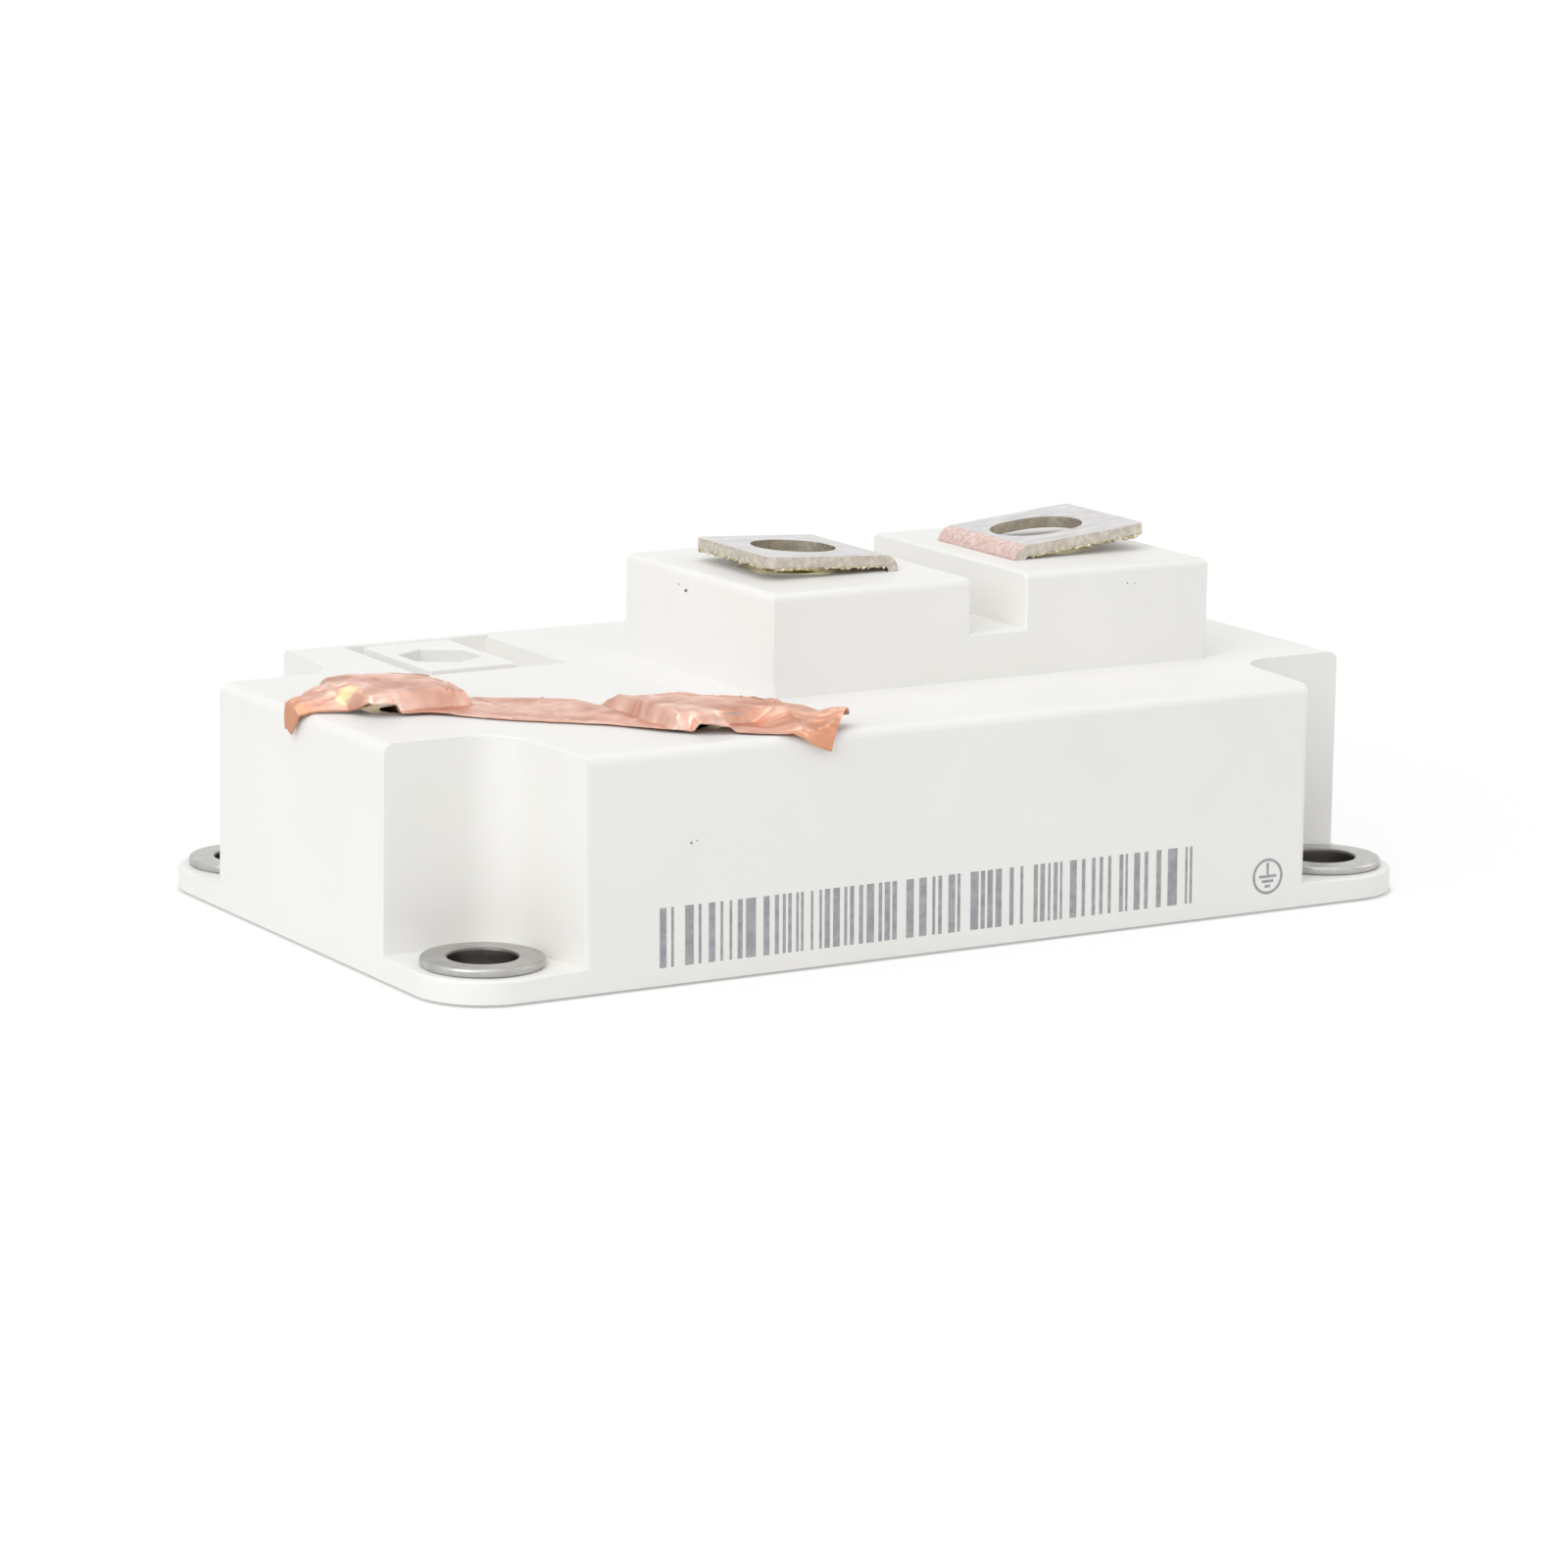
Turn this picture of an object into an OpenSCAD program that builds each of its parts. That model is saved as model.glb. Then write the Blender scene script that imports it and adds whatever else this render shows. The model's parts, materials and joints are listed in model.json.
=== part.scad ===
// Single-switch power semiconductor module of the 62 mm class, in millimetres.
// X runs along the length, Y across the width and Z up.
// The origin is the middle of the cooling face of the base plate, which rests on z = 0.

/* [Footprint] */
// Length of the mounting flange
base_l = 106.4; // [105.6:0.1:107.2]
// Width of the mounting flange
base_w = 61.4; // [61:0.1:62]
// Distance between mounting holes along the length
hole_pitch_x = 93; // [92.6:0.1:93.4]
// Distance between mounting holes across the width
hole_pitch_y = 48; // [47.6:0.1:48.4]
// Diameter of the mounting holes
hole_d = 6.4; // [5.8:0.1:6.8]
// Outer diameter of the collar of a steel bush
bush_d = 11.4; // [11:0.1:11.6]
// Height of the top of a steel bush
bush_top = 3.25; // [3.2:0.05:3.4]

/* [Base plate] */
// Thickness of the copper base plate
plate_t = 3; // [2.8:0.1:3.2]
// How far the plate stands out below the plastic
plate_proud = 0.25; // [0.1:0.05:0.4]

/* [Housing] */
// Height of the top of the mounting flange
flange_top = 2.45; // [2.3:0.05:2.6]
// Height of the flat deck
deck_z = 21.9; // [21.5:0.1:22.5]
// Thickness of the outer walls
wall = 2.2; // [2:0.1:2.4]
// Thickness of the deck
deck_t = 2; // [1.8:0.1:2.2]
// How far the outer walls lean in between the flange and the deck
lean = 0.4; // [0.2:0.05:0.5]
// Radius of the deck's outer edges
edge_r = 1; // [0.6:0.1:1.2]
// Half length of the long faces between the corner notches
notch_x = 39.5; // [39.3:0.1:39.7]
// Half width of the end faces between the corner notches
notch_y = 16.9; // [16.7:0.1:17.1]
// Radius of the inner corner of a notch
notch_r = 4; // [3.8:0.1:4.2]

/* [Terminal blocks] */
// Left side of the left terminal block
block_x0 = -10.7; // [-11:0.1:-10.5]
// Right side of the right terminal block
block_x1 = 39.2; // [39:0.1:39.6]
// Width of the terminal blocks across the module
block_w = 28.3; // [28:0.1:29]
// Height of the top of the terminal blocks
block_top = 31.8; // [31.5:0.1:32.2]
// Left side of the slot between the blocks
slot_x0 = 11.5; // [11.4:0.1:11.6]
// Width of the slot between the blocks
slot_w = 6.3; // [6.1:0.1:6.5]
// Height of the floor of that slot
slot_floor = 26.4; // [26:0.1:27]

/* [Main terminals] */
// Distance between the two screw axes
screw_pitch = 28; // [27.8:0.1:28.2]
// Thickness of the terminal straps
strap_t = 1.1; // [1:0.05:1.2]
// Width of the terminal tabs
tab_w = 14; // [13.6:0.1:14.2]
// Angle by which the emitter tab has sprung up, in degrees
emitter_lift = 2.9; // [1:0.1:4]
// Angle by which the collector tab has sprung up, in degrees
collector_lift = 5.3; // [1:0.1:6]
// Width across flats of the main nuts
main_nut_af = 10; // [9.8:0.1:10]
// Thickness of the main nuts
main_nut_h = 5; // [4.8:0.1:5.2]

/* [Control terminals] */
// Thickness of the control straps
pin_t = 0.8; // [0.7:0.05:0.9]
// Width of the control straps
pin_w = 7.4; // [7:0.1:7.6]
// Width across flats of the control nuts
pin_nut_af = 7; // [6.8:0.1:7]
// Thickness of the control nuts
pin_nut_h = 3.2; // [3:0.1:3.2]

/* [Copper foil] */
// Thickness of the crumpled shorting foil
foil_t = 0.2; // [0.15:0.05:0.3]
// Height of the creases in the foil
foil_crease = 0.22; // [0:0.02:0.25]

/* [Substrates] */
// Length and width of a ceramic substrate
ceramic_l = 37; // [36.8:0.1:37]
ceramic_w = 36; // [35:0.5:36]
// Thickness of the ceramic
ceramic_t = 0.65; // [0.4:0.05:0.7]
// Thickness of the bonded copper on each side of the ceramic
copper_t = 0.3; // [0.2:0.05:0.4]
// Thickness of the solder under a substrate
solder_t = 0.2; // [0.15:0.05:0.25]
// Side of a switch chip
switch_side = 11.5; // [11:0.1:11.6]
// Side of a diode chip
diode_side = 7.6; // [7:0.1:7.6]
// Thickness of the chips
chip_t = 0.3; // [0.2:0.05:0.4]
// Diameter of the aluminium bond wires
wire_d = 0.5; // [0.4:0.05:0.5]
// Height of the surface of the soft gel
gel_top = 12; // [11.5:0.1:12.2]

/* [Hidden] */

$fn = 64;
gap = 0.1;
far = 80;
half_l = base_l / 2;
half_w = base_w / 2;
hole_x = hole_pitch_x / 2;
hole_y = hole_pitch_y / 2;
corner_r = half_l - hole_x;

// Bushes
bush_body_r = 4.8;
bush_edge = 0.35;

// Corner notches
notch_flare = 5;
notch_cy = notch_y + notch_r;
notch_cx = notch_x + (notch_r + (half_w - notch_cy) * sin(notch_flare)) / cos(notch_flare);

// Base plate, the ledge it sits under and the cavity above it
plate_rim = 1.7;
plate_gap = 0.2;
bead_t = 0.2;
ledge_z = plate_t + bead_t;
cavity_top = deck_z - deck_t;

// Ribs across the underside of the deck
RIB_X = [-31, -14.5, 14.5, 43];
rib_t = 1.2;
rib_h = 2.2;

// Terminal blocks
block_r = 0.8;
block_wall = 2;
block_l = block_x1 - block_x0;
well_half = 6;
well_floor = cavity_top + 1.2;
nut_drop = 0.3;
main_bore_r = 3.5;
main_thread_d = 5;

// Main terminal tabs, left end and right end of each
emitter_x0 = -6.9;
emitter_x1 = 7.6;
emitter_z = 33.4;
collector_x0 = 21.1;
collector_x1 = 36.4;
collector_z = 33.2;
emitter_hole_l = 8.3;
emitter_hole_w = 8.2;
collector_hole_l = 9.4;
collector_hole_w = 7.8;
tab_corner_r = 0.5;
bend_r = 0.5;
slit_depth = 3;
collector_bus_z = 13;
emitter_bus_z = 16;
arm_w = 5.6;
arm_gap = 0.5;
emitter_arm_y = -tab_w / 2 - arm_gap - arm_w;
foot_l = 3;

// Control terminals: positions of the nuts
sense_x = -43.4;
sense_y = -1.2;
gate_x = -22.8;
gate_y = -20;
sense_lift = 5;
gate_lift = 2;
pin_end = 4;
pin_neck = 4.4;
pin_hole_d = 4.5;
pin_thread_d = 3.3;
pin_top = deck_z + 1.1;
pin_bore_r = 2.2;
pin_well = 7;
boss_half = 5;
boss_tail = pin_neck + pin_t + 1.4;
boss_h = 8;

// Unused third control position
spare_x0 = -34;
spare_x1 = -18.2;
spare_y0 = 11.5;
spare_y1 = 28.4;
spare_depth = 2.6;
spare_nut_x = -27;
spare_nut_y = 21.4;
spare_pad_half = 4.7;
spare_pad_gap = 3;
spare_pad_drop = 0.15;

// Substrates, from the plate up
ceramic_margin = 0.7;
pad_gap = 0.8;
gate_pad_l = 1.8;
solder_z = plate_t;
back_z = solder_z + solder_t;
ceramic_z = back_z + copper_t;
pad_z = ceramic_z + ceramic_t;
chip_z = pad_z + copper_t;
wire_z = chip_z + chip_t;
substrate_x = 19.7;
pad_l = ceramic_l - 2 * ceramic_margin;
pad_w = ceramic_w - 2 * ceramic_margin;
emitter_pad_l = 8.6;
collector_pad_l = pad_l - emitter_pad_l - gate_pad_l - 2 * pad_gap;
chip_row_y = 8.2;
chip_gap = 0.6;
switch_x = foot_l + chip_gap / 2 + switch_side / 2 - pad_l / 2;
diode_x = switch_x + (switch_side + diode_side) / 2 + chip_gap;
gate_pad_x = pad_l / 2 - emitter_pad_l - pad_gap - gate_pad_l / 2;
foot_x = substrate_x + (pad_l - emitter_pad_l) / 2;

// Bond wires and leads
WIRE_Y = [-3, -1, 1, 3];
wire_inset = 1.4;
wire_sides = 24;
gate_wire_y = 4.8;
gate_wire_d = 0.3;
lead_d = 0.8;
leg_end = gel_top - 1;
lead_z = leg_end - lead_d / 2;
sense_pad_x = foot_x + 2.4;

// The foil, from its tip on the left wall to its end over the front edge.
// Each station: a point on the front edge, a point on the back edge and the height of the crown.
FOIL = [
    [[-53.5, 0.5, 19.8], [-53.5, 1.7, 20.2], 0],
    [[-53.2, -0.8, 21.6], [-53.2, 2.1, 22.2], 0.1],
    [[-51.4, -1.6, 21.95], [-51.4, 2.9, 22.5], 0.3],
    [[-49.3, -3, 22.05], [-49, 4, 22.8], 0.6],
    [[-47.9, -5.3, 23.1], [-47.6, 4.7, 24], 1],
    [[-45.4, -6.1, 23.1], [-45.2, 4.9, 24], 0.9],
    [[-42.6, -6.9, 22.8], [-42, 4.6, 23.8], 0.8],
    [[-40.4, -9, 22.2], [-39.4, 3.4, 23.3], 0.9],
    [[-38.6, -11.4, 21.95], [-36.9, 0.6, 22.5], 0.6],
    [[-35.6, -14.2, 21.95], [-33.9, -2.9, 22.1], 0.3],
    [[-32.4, -17, 21.95], [-30.9, -6.3, 22], 0.3],
    [[-29.8, -19.8, 22], [-27.6, -9.7, 22.2], 0.5],
    [[-27.9, -22.9, 22.9], [-24.4, -12.9, 22.9], 1.1],
    [[-25.9, -25.4, 23.2], [-20.6, -15.3, 23.2], 1.1],
    [[-23.2, -26.8, 22.6], [-17.4, -18.4, 23.1], 0.9],
    [[-20.8, -28.3, 22.2], [-15, -21.4, 22.9], 0.5],
    [[-18.7, -29.8, 21.95], [-13, -23.4, 22.6], 0.35],
    [[-17.3, -31, 21.5], [-11.9, -25.2, 22.4], 0.5],
    [[-15.8, -31.2, 20.8], [-11.2, -27, 22.5], 1],
    [[-14.4, -31.2, 20.3], [-10.8, -28, 22.7], 1.1]];
foil_across = 8;
foil_steps = 2;

// ---------------------------------------------------------------- helpers

// The same thing at all four corners of the footprint.
module four_corners() {
    for (mx = [0, 1], my = [0, 1])
        mirror([mx, 0, 0]) mirror([0, my, 0]) children();
}

// Rectangle with rounded corners, centred on the origin.
module rounded_rect(l, w, r) {
    square([l - 2 * r, w], center = true);
    square([l, w - 2 * r], center = true);
    for (sx = [-1, 1], sy = [-1, 1])
        translate([sx * (l / 2 - r), sy * (w / 2 - r)]) circle(r = r);
}

// Flat side view with leaning ends and rounded upper corners, standing on z0.
module side_view(l, z0, z1, lean_in, r) {
    top = l / 2 - lean_in;
    polygon([[-l / 2, z0], [l / 2, z0], [top, z1 - r], [top - r, z1], [r - top, z1], [-top, z1 - r]]);
    for (s = [-1, 1]) translate([s * (top - r), z1 - r]) circle(r = r);
}

// Moulded block: its plan (the child) cut to two side views, one along X and one along Y.
module moulded_block(l, w, z0, z1, lean_in, r) {
    intersection() {
        translate([0, 0, z0]) linear_extrude(z1 - z0) children();
        rotate([90, 0, 0]) linear_extrude(w + 2, center = true) side_view(l, z0, z1, lean_in, r);
        rotate([90, 0, 90]) linear_extrude(l + 2, center = true) side_view(w, z0, z1, lean_in, r);
    }
}

// Box from its low corner to its high corner.
module span(a, b) {
    translate(a) cube(b - a);
}

// Hexagon prism by its width across flats, with flats facing X.
module hex_prism(af, h) {
    rotate(30) cylinder(r = af / sqrt(3), h = h, $fn = 6);
}

// Hexagon nut with chamfered corners, standing on z = 0.
module hex_nut(af, h, bore_d) {
    corner = af / sqrt(3);
    chamfer = corner - af / 2;
    difference() {
        intersection() {
            hex_prism(af, h);
            rotate_extrude()
                polygon([[0, 0], [af / 2, 0], [corner, chamfer / 2], [corner, h - chamfer / 2],
                         [af / 2, h], [0, h]]);
        }
        translate([0, 0, -1]) cylinder(d = bore_d, h = h + 2);
    }
}

// ---------------------------------------------------------------- housing

// Plan of one corner notch, in the quadrant of +X and +Y. grow moves its walls into the body.
module notch_plan(grow = 0) {
    r = notch_r + grow;
    tx = notch_cx - r * cos(notch_flare);
    ty = notch_cy - r * sin(notch_flare);
    polygon([[notch_cx, notch_cy - r], [far, notch_cy - r], [far, far],
             [tx - far * sin(notch_flare), ty + far * cos(notch_flare)], [tx, ty]]);
    translate([notch_cx, notch_cy]) circle(r = r);
}

// Plan of the tall body: the footprint without its four corners. inset shrinks it all round.
module body_plan(inset = 0) {
    difference() {
        square([base_l - 2 * inset, base_w - 2 * inset], center = true);
        four_corners() notch_plan(inset);
    }
}

module terminal_blocks() {
    translate([(block_x0 + block_x1) / 2, 0, 0])
        moulded_block(block_l, block_w, cavity_top, block_top, lean / 2, block_r)
            rounded_rect(block_l, block_w, block_r);
}

// Space inside one terminal block, left open round the nut well and the strap slot.
module block_hollow(x0, x1, nut_x) {
    y = block_w / 2 - block_wall;
    difference() {
        span([x0, -y, cavity_top - 1], [x1, y, block_top - block_wall]);
        span([nut_x - well_half, -well_half, cavity_top - 2],
             [nut_x + well_half, well_half, block_top]);
    }
}

// Hexagon seat for a nut, with a run-out bore for the screw below it.
module nut_pocket(af, h, bore_r, floor_z, top_z) {
    translate([0, 0, top_z - h]) hex_prism(af + 2 * gap, h + 1);
    translate([0, 0, floor_z]) cylinder(r = bore_r, h = top_z - floor_z);
}

// Ribs across the underside of the deck.
module deck_ribs() {
    for (x = RIB_X)
        span([x - rib_t / 2, -half_w + wall, cavity_top - rib_h],
             [x + rib_t / 2, half_w - wall, cavity_top + gap]);
}

module housing() {
    color("#f4f3ec") difference() {
        union() {
            difference() {
                union() {
                    moulded_block(base_l, base_w, flange_top, deck_z, lean, edge_r) body_plan();
                    translate([0, 0, plate_proud]) linear_extrude(flange_top - plate_proud)
                        rounded_rect(base_l, base_w, corner_r);
                }
                translate([0, 0, ledge_z]) linear_extrude(cavity_top - ledge_z)
                    body_plan(wall + lean);
                linear_extrude(ledge_z) body_plan(plate_rim);
            }
            difference() {
                terminal_blocks();
                block_hollow(block_x0 + block_wall, slot_x0 - block_wall, 0);
                block_hollow(slot_x0 + slot_w + block_wall, block_x1 - block_wall, screw_pitch);
            }
            intersection() {
                deck_ribs();
                linear_extrude(deck_z) body_plan(wall);
            }
            // Bosses under the three control positions
            span([sense_x - boss_half, sense_y - boss_half, deck_z - boss_h],
                 [sense_x + boss_tail, sense_y + boss_half, deck_z - gap]);
            span([gate_x - boss_half, gate_y - boss_half, deck_z - boss_h],
                 [gate_x + boss_half, gate_y + boss_tail, deck_z - gap]);
            span([spare_x0 - deck_t, spare_y0 - deck_t, deck_z - boss_h],
                 [spare_x1 + deck_t, half_w - wall, deck_z - gap]);
        }
        // Slot between the terminal blocks
        span([slot_x0, -half_w, slot_floor], [slot_x0 + slot_w, half_w, block_top + 1]);
        // Seats of the bushes
        four_corners() translate([hole_x, hole_y, 0]) cylinder(r = bush_body_r, h = flange_top + 1);
        // Main nuts and the slits that the main straps come up through
        for (x = [0, screw_pitch]) translate([x, 0, 0])
            nut_pocket(main_nut_af, main_nut_h + nut_drop, main_bore_r, well_floor, block_top);
        strap_slit(emitter_x1 - strap_t);
        strap_slit(collector_x0);
        // Control nuts and the slits of their straps
        translate([sense_x, sense_y, 0]) control_pocket();
        translate([gate_x, gate_y, 0]) control_pocket();
        span([sense_x + pin_neck - gap, sense_y - pin_w / 2 - gap, 0],
             [sense_x + pin_neck + pin_t + gap, sense_y + pin_w / 2 + gap, deck_z + 1]);
        span([gate_x - pin_w / 2 - gap, gate_y + pin_neck - gap, 0],
             [gate_x + pin_w / 2 + gap, gate_y + pin_neck + pin_t + gap, deck_z + 1]);
        spare_position();
    }
}

// Slit for a main strap, a little larger than the strap all round.
module strap_slit(x) {
    span([x - gap, -tab_w / 2 - gap, cavity_top - slit_depth],
         [x + strap_t + gap, tab_w / 2 + gap, block_top + 1]);
}

// Seat and run-out bore of a control nut.
module control_pocket() {
    nut_pocket(pin_nut_af, pin_nut_h + nut_drop, pin_bore_r, deck_z - pin_well, deck_z);
}

// Recess of the unused control position, with the empty nut seat on its raised pad.
module spare_position() {
    difference() {
        span([spare_x0, spare_y0, deck_z - spare_depth], [spare_x1, spare_y1, deck_z + 1]);
        span([spare_nut_x - spare_pad_half, spare_y0 + spare_pad_gap, 0],
             [spare_nut_x + spare_pad_half, spare_y1 + 1, deck_z - spare_pad_drop]);
    }
    translate([spare_nut_x, spare_nut_y, 0]) control_pocket();
}

// ---------------------------------------------------------------- base and bushes

module base_plate() {
    color("#b9a58a") linear_extrude(plate_t) body_plan(plate_rim + plate_gap);
}

// Thin bead of glue between the plate and the ledge of the housing.
module seal_bead() {
    color("#d8d4c4") translate([0, 0, plate_t]) linear_extrude(bead_t) difference() {
        body_plan(plate_rim + plate_gap);
        body_plan(wall + lean);
    }
}

// Collared steel bush that carries the load of one mounting screw.
module bush(sx, sy) {
    outer = bush_d / 2;
    inner = hole_d / 2;
    color("#a9a9a7") translate([sx * hole_x, sy * hole_y, 0]) rotate_extrude() {
        translate([inner, 0]) square([bush_body_r - inner, flange_top]);
        translate([inner, flange_top]) square([outer - inner, bush_top - flange_top - bush_edge]);
        translate([inner, flange_top]) square([outer - bush_edge - inner, bush_top - flange_top]);
        translate([outer - bush_edge, bush_top - bush_edge]) circle(r = bush_edge);
    }
}

module bush_front_left() { bush(-1, -1); }
module bush_front_right() { bush(1, -1); }
module bush_rear_left() { bush(-1, 1); }
module bush_rear_right() { bush(1, 1); }

// ---------------------------------------------------------------- terminals

// Side view of a bent strap. The leg stands with its outer face on x = 0 and reaches down to
// leg_z, and the tab runs to -X, sprung up by lift. z is the height of the tab's upper face.
module bent_side(z, leg_z, reach, lift, t) {
    r_out = bend_r + t;
    c = [-r_out, z - r_out];
    translate([-t, leg_z]) square([t, c[1] - leg_z]);
    translate(c) intersection() {
        difference() {
            circle(r = r_out);
            circle(r = bend_r);
        }
        polygon([[0, 0], [2 * r_out, 0], [2 * r_out, 2 * r_out],
                 [-2 * r_out * sin(lift), 2 * r_out]]);
    }
    translate(c) rotate(-lift) translate([-reach + r_out, bend_r]) square([reach - r_out, t]);
}

// Main strap from its tab down to leg_z. It is cut to the plan of the tab, with the screw hole.
module main_strap(x_bend, z, leg_z, reach, lift, side, hole_x0, hole_l, hole_w) {
    translate([x_bend, 0, 0]) mirror([side < 0 ? 1 : 0, 0, 0]) difference() {
        intersection() {
            rotate([90, 0, 0]) linear_extrude(tab_w, center = true)
                bent_side(z, leg_z, reach, lift, strap_t);
            translate([-reach - 1, 0, leg_z - 1]) linear_extrude(z) translate([reach / 2 + 1, 0])
                rounded_rect(reach + 1, tab_w, tab_corner_r);
        }
        translate([-hole_x0, 0, z - reach / 2]) {
            for (s = [-1, 1]) translate([s * (hole_l - hole_w) / 2, 0, 0])
                cylinder(d = hole_w, h = reach);
            translate([(hole_w - hole_l) / 2, -hole_w / 2, 0])
                cube([hole_l - hole_w, hole_w, reach]);
        }
    }
}

module emitter_terminal() {
    color("#c9c8c4") union() {
        main_strap(emitter_x1, emitter_z, emitter_bus_z, emitter_x1 - emitter_x0, emitter_lift, 1,
                   emitter_x1, emitter_hole_l, emitter_hole_w);
        // Arm along the front edge of the leg, out to a foot on each emitter pad
        span([emitter_x1 - strap_t, emitter_arm_y, emitter_bus_z],
             [emitter_x1, tab_w / 2, emitter_bus_z + strap_t]);
        span([-foot_x, emitter_arm_y, emitter_bus_z],
             [foot_x, emitter_arm_y + arm_w, emitter_bus_z + strap_t]);
        for (s = [-1, 1])
            strap_foot(s * foot_x, emitter_arm_y, arm_w, emitter_bus_z);
    }
}

// Leg and foot of a main strap, from its bus down to the copper of a substrate.
module strap_foot(x, y, w, bus_z) {
    span([x - strap_t / 2, y, chip_z], [x + strap_t / 2, y + w, bus_z + strap_t]);
    span([x - foot_l / 2, y, chip_z], [x + foot_l / 2, y + w, chip_z + strap_t]);
}

module collector_terminal() {
    inner_foot_x = substrate_x - pad_l / 2 + foot_l / 2;
    color("#c9c8c4") union() {
        main_strap(collector_x0, collector_z, collector_bus_z, collector_x1 - collector_x0,
                   collector_lift, -1, screw_pitch - collector_x0,
                   collector_hole_l, collector_hole_w);
        // Bus from the leg to a foot on each collector pad, under the arm of the emitter strap
        span([-inner_foot_x, -arm_w, collector_bus_z],
             [collector_x0 + strap_t, arm_w, collector_bus_z + strap_t]);
        for (s = [-1, 1])
            strap_foot(s * inner_foot_x, -arm_w, 2 * arm_w, collector_bus_z);
    }
}

module emitter_nut() {
    color("#b7b7b4") translate([0, 0, block_top - nut_drop - main_nut_h])
        hex_nut(main_nut_af, main_nut_h, main_thread_d);
}

module collector_nut() {
    color("#b7b7b4") translate([screw_pitch, 0, block_top - nut_drop - main_nut_h])
        hex_nut(main_nut_af, main_nut_h, main_thread_d);
}

// Control strap: a short tab over its nut, with a leg that goes down through the deck.
module control_strap(lift) {
    reach = pin_neck + pin_t + pin_end;
    difference() {
        rotate([90, 0, 0]) linear_extrude(pin_w, center = true)
            translate([pin_neck + pin_t, 0]) bent_side(pin_top, leg_end, reach, lift, pin_t);
        cylinder(d = pin_hole_d, h = far);
    }
}

module sense_terminal() {
    color("#bdbcb8") translate([sense_x, sense_y, 0]) control_strap(sense_lift);
}

module gate_terminal() {
    color("#bdbcb8") translate([gate_x, gate_y, 0]) rotate(90) control_strap(gate_lift);
}

module sense_nut() {
    color("#c8b884") translate([sense_x, sense_y, deck_z - nut_drop - pin_nut_h])
        hex_nut(pin_nut_af, pin_nut_h, pin_thread_d);
}

module gate_nut() {
    color("#c8b884") translate([gate_x, gate_y, deck_z - nut_drop - pin_nut_h])
        hex_nut(pin_nut_af, pin_nut_h, pin_thread_d);
}

// ---------------------------------------------------------------- copper foil

// Smooth curve through the values p1 and p2, with p0 before them and p3 after them.
function blend(p0, p1, p2, p3, t) =
    0.5 * (2 * p1 + (p2 - p0) * t + (2 * p0 - 5 * p1 + 4 * p2 - p3) * t * t
           + (3 * p1 - p0 - 3 * p2 + p3) * t * t * t);

function clamp_index(i) = max(0, min(len(FOIL) - 1, i));

// Value k of the stations at a place s along the foil, where whole numbers are the stations.
function foil_value(s, k) =
    let (i = min(floor(s), len(FOIL) - 2))
    blend(FOIL[clamp_index(i - 1)][k], FOIL[i][k], FOIL[i + 1][k], FOIL[clamp_index(i + 2)][k], s - i);

// Creases run slantwise along the strip and rise from its lower face only.
function crease(s, u) =
    foil_crease * (0.5 + 0.3 * sin(s * 95 + u * 250) + 0.2 * sin(s * 210 - u * 560 + 40));

function crown(u) = 1 - pow(2 * u - 1, 4);

// Point of the lower face at s along and u across the strip.
function foil_point(s, u) =
    let (a = foil_value(s, 0), b = foil_value(s, 1))
    a + (b - a) * u + [0, 0, foil_value(s, 2) * crown(u) + crease(s, u) * crown(u)];

// Direction of the upper face, square to the strip.
function foil_normal(s) =
    let (e = 0.4, n = len(FOIL) - 1,
         along = foil_point(min(n, s + e), 0.5) - foil_point(max(0, s - e), 0.5),
         n0 = cross(along, foil_value(s, 1) - foil_value(s, 0)))
    n0 / norm(n0);

// One ring of points round the strip at s: its lower face, then its upper face back again.
function foil_ring(s) =
    let (n = foil_normal(s) * foil_t)
    [for (i = [0 : foil_across]) foil_point(s, i / foil_across),
     for (i = [foil_across : -1 : 0]) foil_point(s, i / foil_across) + n];

module shorting_foil() {
    rings = (len(FOIL) - 1) * foil_steps;
    m = 2 * (foil_across + 1);
    points = [for (i = [0 : rings]) each foil_ring(i / foil_steps)];
    skin = [for (i = [0 : rings - 1], j = [0 : m - 1])
        let (a = i * m + j, b = i * m + (j + 1) % m)
        each [[a, b, b + m], [a, b + m, a + m]]];
    ends = [for (j = [0 : foil_across - 1])
        let (a = j, b = j + 1, c = m - 2 - j, d = m - 1 - j, last = rings * m)
        each [[a, d, c], [a, c, b], [last + a, last + b, last + c], [last + a, last + c, last + d]]];
    color("#d99a82") polyhedron(points = points, faces = concat(skin, ends));
}

// ---------------------------------------------------------------- substrates and chips

// Left (s = -1) or right (s = 1) substrate. The left one is the mirror image of the right one.
module on_side(s) {
    mirror([s < 0 ? 1 : 0, 0, 0]) translate([substrate_x, 0, 0]) children();
}

// Layer of a substrate: a flat plate centred on x, standing on z.
module layer(x, l, w, z, t) {
    translate([x - l / 2, -w / 2, z]) cube([l, w, t]);
}

module solder(s) {
    color("#9d9d9d") on_side(s) layer(0, pad_l, pad_w, solder_z, solder_t);
}

module back_copper(s) {
    color("#c07a4e") on_side(s) layer(0, pad_l, pad_w, back_z, copper_t);
}

module ceramic(s) {
    color("#f1efe6") on_side(s) layer(0, ceramic_l, ceramic_w, ceramic_z, ceramic_t);
}

module collector_pad(s) {
    color("#c07a4e") on_side(s)
        layer((collector_pad_l - pad_l) / 2, collector_pad_l, pad_w, pad_z, copper_t);
}

module emitter_pad(s) {
    color("#c07a4e") on_side(s)
        layer((pad_l - emitter_pad_l) / 2, emitter_pad_l, pad_w, pad_z, copper_t);
}

module gate_pad(s) {
    color("#c07a4e") on_side(s) layer(gate_pad_x, gate_pad_l, pad_w, pad_z, copper_t);
}

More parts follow.
